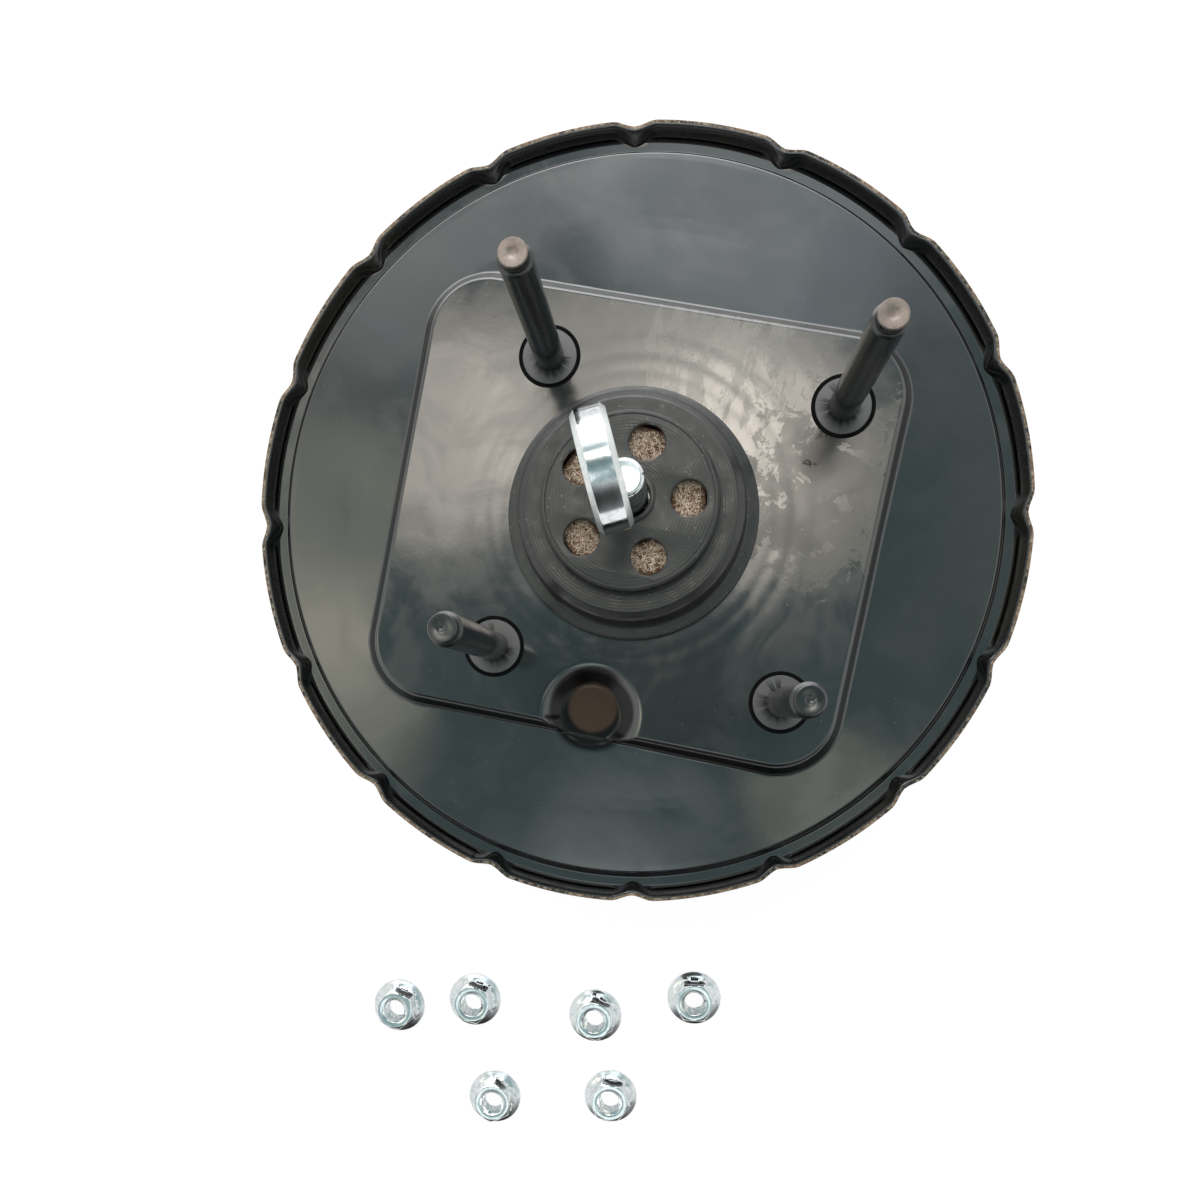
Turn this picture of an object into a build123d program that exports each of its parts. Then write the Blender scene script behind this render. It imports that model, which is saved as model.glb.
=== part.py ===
from build123d import *
from math import atan2, cos, degrees, hypot, radians, sin, sqrt, tan
import os

os.makedirs("parts", exist_ok=True)

# Vacuum brake booster, one diaphragm, in millimetres.
# The origin is on the hub axis, in the mounting face of the pad. +Z runs along the hub axis
# towards the pedal. X and Y run along the sides of the square stud pattern.
# The booster lies on its master cylinder studs, so +Z points up.

# ---------------------------------------------------------------- clearances
running_gap = 0.08        # radial, between a sliding piece and its guide
seat_gap = 0.3            # between a loose or soft piece and what carries it
press_gap = 0.1           # radial, between fixed pieces that share one body

# ---------------------------------------------------------------- travels
booster_stroke = 30.0     # of the valve body towards the master cylinder
valve_stroke = 2.5        # of the air valve inside the valve body

# ---------------------------------------------------------------- shell sheets
front_sheet = 1.4
rear_sheet = 1.2

# collar of the front shell, crimped over the rear shell
collar_radius = 107.0     # outside, at the cut edge
collar_top = -5.0
collar_flare = 1.2        # how much wider the cut edge is than the wall at the flange
crimp_count = 16
crimp_first_angle = 11.25
crimp_half_angle = 2.8
crimp_tip_half_angle = 0.5
crimp_depth_top = 1.7
crimp_depth_foot = 2.6
crimp_shoulder_bend = 9.0
crimp_tip_bend = 1.2

# rear shell
flange_top = -9.3
flange_side_gap = 0.3
flange_width = 2.8        # flat, outside the shoulder
shoulder_rise = 3.5
shoulder_bend = 2.6
dish_radius = 58.0        # where the shallow cone begins
dish_height = -3.0        # of the flat dish under the pad
pad_length = 130.0
pad_width = 116.5
pad_centre_y = -1.6
pad_corner = 16.0
pad_draft = 25.0
pad_edge_bend = 2.5
pad_root = 8.0            # how deep the pad's walls run into the dish
bead_radii = (35.9, 39.9)
bead_width = 3.9
bead_height = 0.3
pocket_x = -0.6
pocket_y = -55.5
pocket_radius = 13.4
pocket_floor_radius = 8.4
pocket_floor = -3.4
neck_radius = 25.6
neck_wall = 1.4
neck_top = 10.2
neck_root_bend = 1.6

# front shell
ledge_height = -18.2      # outside of the ledge under the diaphragm's bead
ledge_width = 5.3
bowl_taper = 3.5          # how much narrower the bowl is at its foot
bowl_foot = -47.0
face_inset = 9.0          # of the flat face inside the bowl's foot
face_height = -58.5
boss_outer_radius = 54.0
boss_radius = 50.0
boss_height = -62.0       # master cylinder mounting face
spigot_radius = 20.0
ledge_bend = 2.4
bowl_bend = 8.0
boss_bend = 3.0

# reinforcements
rear_plate_length = 116.0
rear_plate_width = 102.0
rear_plate_corner = 12.0
rear_plate_thickness = 2.0
rear_plate_bore = 22.4
front_plate_thickness = 2.0
front_plate_radius = 46.0

# studs
stud_radius = 4.0
stud_pitch = 80.0
stud_offset_x = 9.3
stud_offset_y = -2.1
stud_top = 64.3
stud_head_radius = 7.5
stud_head_height = 1.8
stud_collar_radius = 6.7
stud_collar_top = 0.8
stud_seat_radius = 8.2
stud_seat_depth = 0.5
stud_shank_radius = 4.8     # pressed shank, through the sheets
stud_hole_gap = 0.3
dog_radius = 2.95
dog_length = 3.0
dimple_radius = 1.3
dimple_depth = 0.6
stud_chamfer = 0.6
cylinder_stud_pitch = 84.0
cylinder_stud_head_radius = 7.0
floor_height = -84.0      # the surface that the booster lies on

# valve body
tail_radius = 21.2
tail_bore = 19.7
tail_top = 17.9
filter_ledge = 10.4
poppet_bore = 15.2
groove_floor = -0.5
ridge_radius = 13.0
recess_radius = 10.9
guide_radius = 8.2
guide_foot = -12.3
nose_radius = 5.93
hub_radius = 33.0
hub_top = -8.6
hub_foot = -12.5
front_boss_radius = 17.0
stroke_end_gap = 4.0      # left in front of the valve body at the end of its stroke
chamber_radius = 12.0
chamber_roof = -15.6
port_count = 4
port_circle = 14.1
port_radius = 1.0
port_height = 2.0
port_depth = -14.6

# stop key
key_top = -3.5
key_thickness = 1.5
key_half_width = 9.6
key_slot_half_width = 6.8
key_reach = 25.3
key_heel = 7.5
key_side_gap = 0.4

# air valve plunger and push rod
ball_height = 5.6
ball_radius = 5.6
cup_radius = 8.6
cup_mouth = 5.0
cup_top = 9.2
plunger_flange_radius = 10.2
plunger_flange_thickness = 2.3
plunger_neck = 6.4
rod_lean = 4.0            # of the push rod in its eye's plane, as it lies
rod_radius = 5.0
rod_neck = 3.6
rod_neck_length = 8.0     # from the ball's centre to the full shank
shank_end_bend = 1.2
eye_height = 41.0         # from the ball's centre to the pin hole
eye_radius = 14.4
eye_thickness = 8.4
eye_turn = 25.8           # of the pin hole's axis from X
eye_offset = 4.4          # of the eye's middle from the shank's axis
eye_bend = 1.3
pin_radius = 6.1
pin_chamfer = 0.6
rod_seat_radius = 8.4
rod_seat_height = 9.7     # from the ball's centre
rod_seat_thickness = 1.0

# poppet
poppet_inner_radius = 9.4
poppet_outer_radius = 13.6
poppet_thickness = 1.6
poppet_bead_foot = 7.2
poppet_bead_top = 8.8
bellows_radius = 9.8
bellows_wall = 1.1
bellows_wave = 0.7
poppet_retainer_foot = 9.1
poppet_retainer_top = 10.2
poppet_retainer_bore = 11.2

# filters
filter_retainer_thickness = 0.6
foam_bore = 12.4
foam_foot = 11.3
foam_top = 13.9
felt_bore = 10.4
felt_foot = 14.2
felt_top = 17.6

# output side
reaction_disc_thickness = 3.5
output_head_thickness = 3.6
output_rod_radius = 5.5
output_rod_foot = -66.0
output_bore = 3.0
output_bore_depth = 10.0
screw_hex = 9.0           # across the flats
screw_hex_top = -67.0
screw_hex_foot = -71.0
screw_dome_radius = 4.4
retainer_sheet = 1.0
retainer_bore = 6.2
retainer_sleeve_top = -19.0

# neck fittings
neck_seal_foot = -0.9
neck_seal_top = 3.7
neck_bush_foot = 4.0
neck_bush_top = 8.6
neck_retainer_top = 9.6
neck_retainer_bore = 21.9

# diaphragm and its plate
plate_sheet = 1.0
plate_cone_radius = 34.0
roll_width = 8.4          # room for the diaphragm's roll round the plate
plate_rim_height = -12.3
plate_rim_foot = -22.0
plate_bend = 2.5
diaphragm_wall = 1.8
diaphragm_bead_width = 7.7
diaphragm_fold_foot = -24.0

# dust boot
boot_foot_radius = 33.9
boot_foot_height = 2.3
boot_body_radius = 29.8
boot_wave = 1.4
boot_shelf = 14.2
boot_shelf_radius = 27.4
boot_cap_radius = 22.7
boot_top = 20.0
boot_cap_thickness = 1.8
boot_wall = 1.3
boot_lip_radius = 6.9
boot_lip_height = 0.7
breather_count = 5
breather_radius = 4.6
breather_circle = 15.1
breather_first_angle = 12.2
boot_slit = 0.35

# springs: wire radius, coil radii and turns
main_wire = 1.6
main_coil_front = 30.0
main_coil_hub = 25.0
main_turns = 4.5
poppet_wire = 0.45
poppet_coil = 12.9
poppet_turns = 1.5
rod_wire = 0.5
rod_coil_foot = 11.5
rod_coil_top = 7.8
rod_turns = 2.5
rod_spring_top = 14.0
disc_wire = 0.3
disc_coil = 3.9
disc_turns = 3.0

# check valve, in the front face
valve_inset = 18.0        # of its middle inside the flat face's edge
valve_hole = 9.5
grommet_bore = 7.3
grommet_rim = 11.5
grommet_rim_thickness = 1.8
valve_radius = 7.0
valve_flange_radius = 10.0
valve_flange_thickness = 1.9
valve_chamber = 5.6
disc_spring_room = 5.0    # between the disc and the foot of its chamber
nozzle_radius = 5.0
nozzle_bore = 3.2
barb_radius = 6.1
barb_pitch = 5.0
barb_rise = 3.4
barb_land = 1.2
barb_count = 2
valve_head_thickness = 1.5
cap_flange_radius = 7.0
cap_flange_thickness = 1.0
cap_bore = 2.6
cap_plug_depth = 1.6
disc_radius = 4.6
disc_thickness = 1.4

# flange nuts, M8
nut_flats = 13.0
nut_height = 8.0
nut_bore = 3.4
nut_flange_radius = 9.5
nut_flange_edge = 1.1
nut_flange_height = 2.9
nut_chamfer = 1.0
nut_corner_drop = 1.3     # of the hex corners under the top face
nut_places = (
    (-55.6, -176.0, 20.0),
    (-28.4, -167.5, 24.0),
    (15.8, -163.4, 15.0),
    (49.1, -149.1, 40.0),
    (-14.3, -201.3, 5.0),
    (27.1, -191.3, 33.0),
)

# ---------------------------------------------------------------- derived sizes
collar_foot_radius = collar_radius - collar_flare
collar_bore = collar_foot_radius - front_sheet
flange_radius = collar_bore - flange_side_gap
flange_foot = flange_top - rear_sheet
shoulder_foot_radius = flange_radius - flange_width
shoulder_radius = shoulder_foot_radius - shoulder_rise
ledge_inner_radius = collar_foot_radius - ledge_width
bowl_foot_radius = ledge_inner_radius - bowl_taper
face_radius = bowl_foot_radius - face_inset
valve_y = valve_inset - face_radius
diaphragm_fold_radius = flange_radius - diaphragm_bead_width
plate_rim_radius = diaphragm_fold_radius - roll_width
shoulder_top = flange_top + shoulder_rise
neck_bore = neck_radius - neck_wall
crimp_pitch = 360 / crimp_count
stud_places = [
    (stud_offset_x + side * stud_pitch / 2, stud_offset_y + end * stud_pitch / 2)
    for side in (-1, 1)
    for end in (-1, 1)
]
cylinder_stud_places = [(side * cylinder_stud_pitch / 2, 0) for side in (-1, 1)]
stud_hole = stud_shank_radius + stud_hole_gap
front_plate_foot = boss_height + front_sheet
front_plate_top = front_plate_foot + front_plate_thickness
face_inside = face_height + front_sheet
rear_plate_foot = -rear_sheet - rear_plate_thickness
pocket_slope = (pocket_radius - pocket_floor_radius) / -pocket_floor
front_boss_foot = front_plate_top + booster_stroke + stroke_end_gap + retainer_sheet
key_foot = key_top - key_thickness
key_slot_roof = key_top + seat_gap
key_slot_floor = key_foot - seat_gap
plunger_flange_foot = key_slot_roof + valve_stroke + seat_gap
plunger_flange_top = plunger_flange_foot + plunger_flange_thickness
plunger_guide_foot = guide_foot + valve_stroke + seat_gap
poppet_face = plunger_flange_top + seat_gap
reaction_disc_top = chamber_roof - seat_gap
plunger_nose_foot = reaction_disc_top + valve_stroke + seat_gap
reaction_disc_foot = reaction_disc_top - reaction_disc_thickness
output_head_top = reaction_disc_foot - seat_gap
output_head_foot = output_head_top - output_head_thickness
retainer_foot = front_boss_foot - retainer_sheet
valve_head_foot = face_inside + seat_gap + grommet_rim_thickness + seat_gap
valve_head_top = valve_head_foot + valve_head_thickness
disc_top = valve_head_top - cap_plug_depth - seat_gap
disc_foot = disc_top - disc_thickness
valve_chamber_foot = disc_foot - disc_spring_room
diaphragm_foot = hub_top + plate_sheet + seat_gap
diaphragm_top = diaphragm_foot + diaphragm_wall
bead_top = flange_foot - seat_gap
bead_foot = ledge_height + front_sheet + seat_gap
boot_cap_foot = boot_top - boot_cap_thickness
through = 200.0           # longer than any piece, for cuts that go right through


def polar(radius, angle):
    """Point at a radius and an angle in degrees."""
    return (radius * cos(radians(angle)), radius * sin(radians(angle)))


def turned_section(*points, plane=Plane.XZ):
    """Closed section beside the plane's upright axis, to be turned about that axis."""
    with BuildSketch(plane) as section:
        with BuildLine():
            Polyline(*points, close=True)
        make_face()
    return section.sketch


def sheet_section(points, bends, thickness):
    """Section of a bent sheet: its outer line, rounded at each bend and thickened to the right."""
    with BuildSketch(Plane.XZ) as section:
        with BuildLine():
            FilletPolyline(*points, radius=bends)
            offset(amount=thickness, side=Side.RIGHT)
        make_face()
    return section.sketch


def crimped_outline(height, radius, depth, shoulder, tip):
    """Outline across the collar: a circle with a rounded V-shaped dent at each crimp."""
    with BuildSketch(Plane.XY.offset(height)) as outline:
        with BuildLine():
            for crimp in range(crimp_count):
                middle = crimp_first_angle + crimp * crimp_pitch
                bay_start = polar(radius, middle + crimp_half_angle)
                Polyline(
                    polar(radius, middle - crimp_half_angle),
                    polar(radius - depth, middle - crimp_tip_half_angle),
                    polar(radius - depth, middle + crimp_tip_half_angle),
                    bay_start,
                )
                ThreePointArc(
                    bay_start,
                    polar(radius, middle + crimp_pitch / 2),
                    polar(radius, middle + crimp_pitch - crimp_half_angle),
                )
        make_face()
        corners = outline.vertices().group_by(lambda corner: round(hypot(corner.X, corner.Y), 2))
        fillet(corners[-1], shoulder)
        corners = outline.vertices().group_by(lambda corner: round(hypot(corner.X, corner.Y), 2))
        fillet(corners[0], tip)
    return outline.sketch


def coil(wire, foot_radius, top_radius, foot, top, turns):
    """Round-wire spring about Z that touches the heights foot and top."""
    height = top - foot - 2 * wire
    lean = degrees(atan2(top_radius - foot_radius, height))
    with BuildPart() as spring:
        with BuildLine() as path:
            Helix(height / turns, height, foot_radius, center=(0, 0, foot + wire), cone_angle=lean)
        with BuildSketch(Plane(origin=path.line @ 0, z_dir=path.line % 0)):
            Circle(wire)
        sweep()
    return spring.part


def rear_form(inset, rim):
    """Solid under the rear shell's surface, moved inwards by inset and closed along rim."""
    corner_shift = inset * tan(radians(22.5))
    wall_shift = inset * (1 - sin(radians(pad_draft))) / cos(radians(pad_draft))
    pocket_shift = inset * (sqrt(1 + pocket_slope**2) - pocket_slope)
    with BuildPart() as form:
        with BuildSketch(Plane.XZ) as dish:
            with BuildLine():
                Polyline(
                    (0, dish_height - inset),
                    (dish_radius, dish_height - inset),
                    (shoulder_radius - corner_shift, shoulder_top - inset),
                    (shoulder_foot_radius - corner_shift, flange_top - inset),
                    *rim,
                    close=True,
                )
            make_face()
            shoulder = dish.vertices().sort_by_distance((shoulder_radius, 0, shoulder_top))[0]
            fillet(shoulder, shoulder_bend - inset)
        revolve(axis=Axis.Z)
        with BuildSketch(Plane.XY.offset(-inset)):
            with Locations((0, pad_centre_y)):
                RectangleRounded(
                    pad_length - 2 * wall_shift, pad_width - 2 * wall_shift, pad_corner - wall_shift
                )
        extrude(amount=-pad_root, taper=-pad_draft)
        fillet(form.faces().sort_by(Axis.Z)[-1].edges(), pad_edge_bend - inset)
        for bead in bead_radii:
            bead_start = (bead - bead_width / 2, -inset)
            bead_end = (bead + bead_width / 2, -inset)
            with BuildSketch(Plane.XZ):
                with BuildLine():
                    ThreePointArc(bead_start, (bead, bead_height - inset), bead_end)
                    Polyline(bead_end, (bead, -inset - bead_height), bead_start)
                make_face()
            revolve(axis=Axis.Z)
        cut_depth = inset + bead_height - pocket_floor
        with Locations((pocket_x, pocket_y, pocket_floor - inset)):
            Cone(
                pocket_floor_radius + pocket_shift,
                pocket_floor_radius + pocket_shift + pocket_slope * cut_depth,
                cut_depth,
                align=(Align.CENTER, Align.CENTER, Align.MIN),
                mode=Mode.SUBTRACT,
            )
    return form.part


# ---------------------------------------------------------------- front shell
with BuildPart() as front_shell:
    add(
        sheet_section(
            (
                (collar_foot_radius, flange_top),
                (collar_foot_radius, ledge_height),
                (ledge_inner_radius, ledge_height),
                (bowl_foot_radius, bowl_foot),
                (face_radius, face_height),
                (boss_outer_radius, face_height),
                (boss_radius, boss_height),
                (spigot_radius, boss_height),
            ),
            (ledge_bend, ledge_bend, bowl_bend, bowl_bend, boss_bend, boss_bend),
            front_sheet,
        )
    )
    revolve(axis=Axis.Z)
    add(
        crimped_outline(
            flange_top, collar_foot_radius, crimp_depth_foot, crimp_shoulder_bend, crimp_tip_bend
        )
    )
    add(
        crimped_outline(
            collar_top, collar_radius, crimp_depth_top, crimp_shoulder_bend, crimp_tip_bend
        )
    )
    loft(ruled=True)
    add(
        crimped_outline(
            flange_top,
            collar_bore,
            crimp_depth_foot,
            crimp_shoulder_bend - front_sheet,
            crimp_tip_bend + front_sheet,
        )
    )
    add(
        crimped_outline(
            collar_top,
            collar_radius - front_sheet,
            crimp_depth_top,
            crimp_shoulder_bend - front_sheet,
            crimp_tip_bend + front_sheet,
        )
    )
    loft(ruled=True, mode=Mode.SUBTRACT)
    with Locations(*cylinder_stud_places):
        Cylinder(stud_hole, through, mode=Mode.SUBTRACT)
    with Locations((0, valve_y)):
        Cylinder(valve_hole, through, mode=Mode.SUBTRACT)
front_shell.part.label = "front_shell"
export_step(front_shell.part, "parts/front_shell.step")

# ---------------------------------------------------------------- rear shell
with BuildPart() as rear_shell:
    add(rear_form(0, ((flange_radius, flange_top), (flange_radius, flange_foot), (0, flange_foot))))
    Cylinder(neck_radius, neck_top, align=(Align.CENTER, Align.CENTER, Align.MIN))
    neck_root = rear_shell.edges().filter_by(GeomType.CIRCLE).sort_by_distance((neck_radius, 0, 0))[0]
    fillet(neck_root, neck_root_bend)
    add(rear_form(rear_sheet, ((0, flange_foot),)), mode=Mode.SUBTRACT)
    Cylinder(neck_bore, through, mode=Mode.SUBTRACT)
    with Locations(*[(x, y, -stud_seat_depth) for x, y in stud_places]):
        Cylinder(
            stud_seat_radius,
            through,
            align=(Align.CENTER, Align.CENTER, Align.MIN),
            mode=Mode.SUBTRACT,
        )
        Cylinder(stud_hole, through, mode=Mode.SUBTRACT)
rear_shell.part.label = "rear_shell"
export_step(rear_shell.part, "parts/rear_shell.step")

# ---------------------------------------------------------------- reinforcements
with BuildPart() as rear_reinforcement:
    with BuildSketch(Plane.XY.offset(-rear_sheet)):
        with Locations((0, pad_centre_y)):
            RectangleRounded(rear_plate_length, rear_plate_width, rear_plate_corner)
        Circle(rear_plate_bore, mode=Mode.SUBTRACT)
        with Locations((pocket_x, pocket_y)):
            Circle(pocket_radius + rear_sheet + rear_plate_thickness, mode=Mode.SUBTRACT)
        with Locations(*stud_places):
            Circle(stud_hole, mode=Mode.SUBTRACT)
    extrude(amount=-rear_plate_thickness)
rear_reinforcement.part.label = "rear_reinforcement"
export_step(rear_reinforcement.part, "parts/rear_reinforcement.step")

with BuildPart() as front_reinforcement:
    with BuildSketch(Plane.XY.offset(front_plate_foot)):
        Circle(front_plate_radius)
        Circle(spigot_radius, mode=Mode.SUBTRACT)
        with Locations(*cylinder_stud_places):
            Circle(stud_hole, mode=Mode.SUBTRACT)
    extrude(amount=front_plate_thickness)
front_reinforcement.part.label = "front_reinforcement"
export_step(front_reinforcement.part, "parts/front_reinforcement.step")

# ---------------------------------------------------------------- studs
with BuildPart() as mounting_stud:
    add(
        turned_section(
            (0, rear_plate_foot - stud_head_height),
            (stud_head_radius, rear_plate_foot - stud_head_height),
            (stud_head_radius, rear_plate_foot),
            (stud_shank_radius, rear_plate_foot),
            (stud_shank_radius, -stud_seat_depth),
            (stud_collar_radius, -stud_seat_depth),
            (stud_collar_radius, stud_collar_top - stud_chamfer / 2),
            (stud_collar_radius - stud_chamfer / 2, stud_collar_top),
            (stud_radius, stud_collar_top),
            (stud_radius, stud_top - dog_length - stud_chamfer),
            (stud_radius - stud_chamfer, stud_top - dog_length),
            (dog_radius, stud_top - dog_length),
            (dog_radius, stud_top - stud_chamfer / 2),
            (dog_radius - stud_chamfer / 2, stud_top),
            (dimple_radius, stud_top),
            (0, stud_top - dimple_depth),
        )
    )
    revolve(axis=Axis.Z)

with BuildPart() as mounting_studs:
    with Locations(*stud_places):
        add(mounting_stud.part)
mounting_studs.part.label = "mounting_studs"
export_step(mounting_studs.part, "parts/mounting_studs.step")

with BuildPart() as cylinder_stud:
    add(
        turned_section(
            (0, front_plate_top + stud_head_height),
            (cylinder_stud_head_radius, front_plate_top + stud_head_height),
            (cylinder_stud_head_radius, front_plate_top),
            (stud_shank_radius, front_plate_top),
            (stud_shank_radius, boss_height),
            (stud_radius, boss_height),
            (stud_radius, floor_height + stud_chamfer),
            (stud_radius - stud_chamfer, floor_height),
            (0, floor_height),
        )
    )
    revolve(axis=Axis.Z)

with BuildPart() as master_cylinder_studs:
    with Locations(*cylinder_stud_places):
        add(cylinder_stud.part)
master_cylinder_studs.part.label = "master_cylinder_studs"
export_step(master_cylinder_studs.part, "parts/master_cylinder_studs.step")

# ---------------------------------------------------------------- neck fittings
with BuildPart() as neck_seal:
    seal_bore = tail_radius + seat_gap
    seal_radius = neck_bore - seat_gap
    groove_side = (seal_radius - seal_bore) / 3
    add(
        turned_section(
            (seal_bore, neck_seal_foot),
            (seal_radius, neck_seal_foot),
            (seal_radius, neck_seal_top),
            (seal_radius - groove_side, neck_seal_top),
            (seal_radius - groove_side * 1.5, neck_seal_top - 2 * groove_side),
            (seal_bore + groove_side, neck_seal_top),
            (seal_bore, neck_seal_top),
        )
    )
    revolve(axis=Axis.Z)
neck_seal.part.label = "neck_seal"
export_step(neck_seal.part, "parts/neck_seal.step")

with BuildPart() as neck_bush:
    add(
        turned_section(
            (tail_radius + running_gap, neck_bush_foot),
            (neck_bore - press_gap, neck_bush_foot),
            (neck_bore - press_gap, neck_bush_top),
            (tail_radius + running_gap, neck_bush_top),
        )
    )
    revolve(axis=Axis.Z)
neck_bush.part.label = "neck_bush"
export_step(neck_bush.part, "parts/neck_bush.step")

with BuildPart() as neck_retainer:
    add(
        turned_section(
            (neck_retainer_bore, neck_bush_top),
            (neck_bore - press_gap, neck_bush_top),
            (neck_bore - press_gap, neck_retainer_top),
            (neck_retainer_bore, neck_retainer_top),
        )
    )
    revolve(axis=Axis.Z)
neck_retainer.part.label = "neck_retainer"
export_step(neck_retainer.part, "parts/neck_retainer.step")

# ---------------------------------------------------------------- valve body
with BuildPart() as valve_body:
    add(
        turned_section(
            (tail_radius, tail_top),
            (tail_radius, hub_top),
            (hub_radius, hub_top),
            (hub_radius, hub_foot),
            (front_boss_radius, hub_foot),
            (front_boss_radius, front_boss_foot),
            (chamber_radius, front_boss_foot),
            (chamber_radius, chamber_roof),
            (nose_radius + running_gap, chamber_roof),
            (nose_radius + running_gap, guide_foot),
            (guide_radius + running_gap, guide_foot),
            (guide_radius + running_gap, key_slot_roof),
            (recess_radius, key_slot_roof),
            (recess_radius, plunger_flange_top),
            (ridge_radius, plunger_flange_top),
            (ridge_radius, groove_floor),
            (poppet_bore, groove_floor),
            (poppet_bore, filter_ledge),
            (tail_bore, filter_ledge),
            (tail_bore, tail_top),
        )
    )
    revolve(axis=Axis.Z)
    # slot for the stop key, open to one side
    with BuildSketch(Plane.XY.offset(key_slot_floor)):
        with Locations((-key_heel - key_side_gap, 0)):
            Rectangle(
                2 * tail_radius + key_heel,
                2 * (key_half_width + key_side_gap),
                align=(Align.MIN, Align.CENTER),
            )
    extrude(amount=key_slot_roof - key_slot_floor, mode=Mode.SUBTRACT)
    # vacuum ports, from the groove round the ridge to the side of the front boss
    with BuildSketch(Plane.XY.offset(port_depth)):
        with PolarLocations(port_circle, port_count, start_angle=180 / port_count):
            Circle(port_radius)
    extrude(amount=groove_floor - port_depth, mode=Mode.SUBTRACT)
    with BuildSketch(Plane.XY.offset(port_depth)):
        with PolarLocations(port_circle, port_count, start_angle=180 / port_count):
            Rectangle(front_boss_radius, 2 * port_radius, align=(Align.MIN, Align.CENTER))
    extrude(amount=port_height, mode=Mode.SUBTRACT)
valve_body.part.label = "valve_body"
export_step(valve_body.part, "parts/valve_body.step")

with BuildPart() as stop_key:
    with BuildSketch(Plane.XY.offset(key_foot)):
        with Locations((-key_heel, 0)):
            Rectangle(
                key_heel + key_reach, 2 * key_half_width, align=(Align.MIN, Align.CENTER)
            )
        with Locations((-key_heel, 0)):
            Rectangle(
                key_heel, 2 * key_slot_half_width, align=(Align.MIN, Align.CENTER), mode=Mode.SUBTRACT
            )
        Circle(key_slot_half_width, mode=Mode.SUBTRACT)
    extrude(amount=key_thickness)
stop_key.part.label = "stop_key"
export_step(stop_key.part, "parts/stop_key.step")

# ---------------------------------------------------------------- air valve
cup_gap_radius = ball_radius + seat_gap
mouth_height = ball_height + sqrt(cup_gap_radius**2 - cup_mouth**2)
with BuildPart() as air_valve:
    with BuildSketch(Plane.XZ):
        with BuildLine():
            Polyline(
                (0, ball_height - cup_gap_radius),
                (0, plunger_nose_foot),
                (nose_radius, plunger_nose_foot),
                (nose_radius, plunger_guide_foot),
                (guide_radius, plunger_guide_foot),
                (guide_radius, key_slot_floor),
                (plunger_neck, key_slot_floor),
                (plunger_neck, plunger_flange_foot),
                (plunger_flange_radius, plunger_flange_foot),
                (plunger_flange_radius, plunger_flange_top),
                (cup_radius, plunger_flange_top),
                (cup_radius, cup_top),
                (cup_mouth, cup_top),
                (cup_mouth, mouth_height),
            )
            ThreePointArc(
                (cup_mouth, mouth_height),
                (cup_gap_radius * cos(radians(30)), ball_height - cup_gap_radius * sin(radians(30))),
                (0, ball_height - cup_gap_radius),
            )
        make_face()
    revolve(axis=Axis.Z)
air_valve.part.label = "air_valve"
export_step(air_valve.part, "parts/air_valve.step")

# ---------------------------------------------------------------- push rod
eye_plane = Plane(origin=(-eye_offset, 0, eye_height), x_dir=(0, 1, 0), z_dir=(1, 0, 0))
with BuildPart() as rod_eye:
    with BuildSketch(eye_plane):
        Circle(eye_radius)
    extrude(amount=eye_thickness / 2, both=True)
    fillet(rod_eye.edges().filter_by(GeomType.CIRCLE), eye_bend)
    with BuildSketch(eye_plane):
        Circle(pin_radius)
    extrude(amount=eye_thickness / 2, both=True, mode=Mode.SUBTRACT)
    pin_rims = rod_eye.edges().filter_by(GeomType.CIRCLE).filter_by(
        lambda rim: abs(rim.radius - pin_radius) < press_gap
    )
    chamfer(pin_rims, pin_chamfer)

with BuildPart() as upright_rod:
    Sphere(ball_radius)
    Cylinder(rod_neck, rod_neck_length, align=(Align.CENTER, Align.CENTER, Align.MIN))
    with Locations((0, 0, rod_neck_length)):
        Cylinder(
            rod_radius,
            eye_height - eye_radius - rod_neck_length + rod_radius,
            align=(Align.CENTER, Align.CENTER, Align.MIN),
        )
    shank_top = upright_rod.edges().filter_by(GeomType.CIRCLE).sort_by(Axis.Z)[-1]
    fillet(shank_top, shank_end_bend)
    add(rod_eye.part)

lean_reach = sin(radians(rod_lean))
rod_frame = Location(
    Plane(
        origin=(0, 0, ball_height),
        x_dir=(*polar(1, eye_turn), 0),
        z_dir=(*polar(lean_reach, eye_turn + 90), cos(radians(rod_lean))),
    )
)
with BuildPart() as push_rod:
    with Locations(rod_frame):
        add(upright_rod.part)
push_rod.part.label = "push_rod"
export_step(push_rod.part, "parts/push_rod.step")

with BuildPart() as rod_spring_seat:
    with Locations(rod_frame * Location((0, 0, rod_seat_height))):
        Cylinder(
            rod_seat_radius, rod_seat_thickness, align=(Align.CENTER, Align.CENTER, Align.MIN)
        )
        Cylinder(rod_radius + press_gap, through, mode=Mode.SUBTRACT)
rod_spring_seat.part.label = "rod_spring_seat"
export_step(rod_spring_seat.part, "parts/rod_spring_seat.step")

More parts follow.
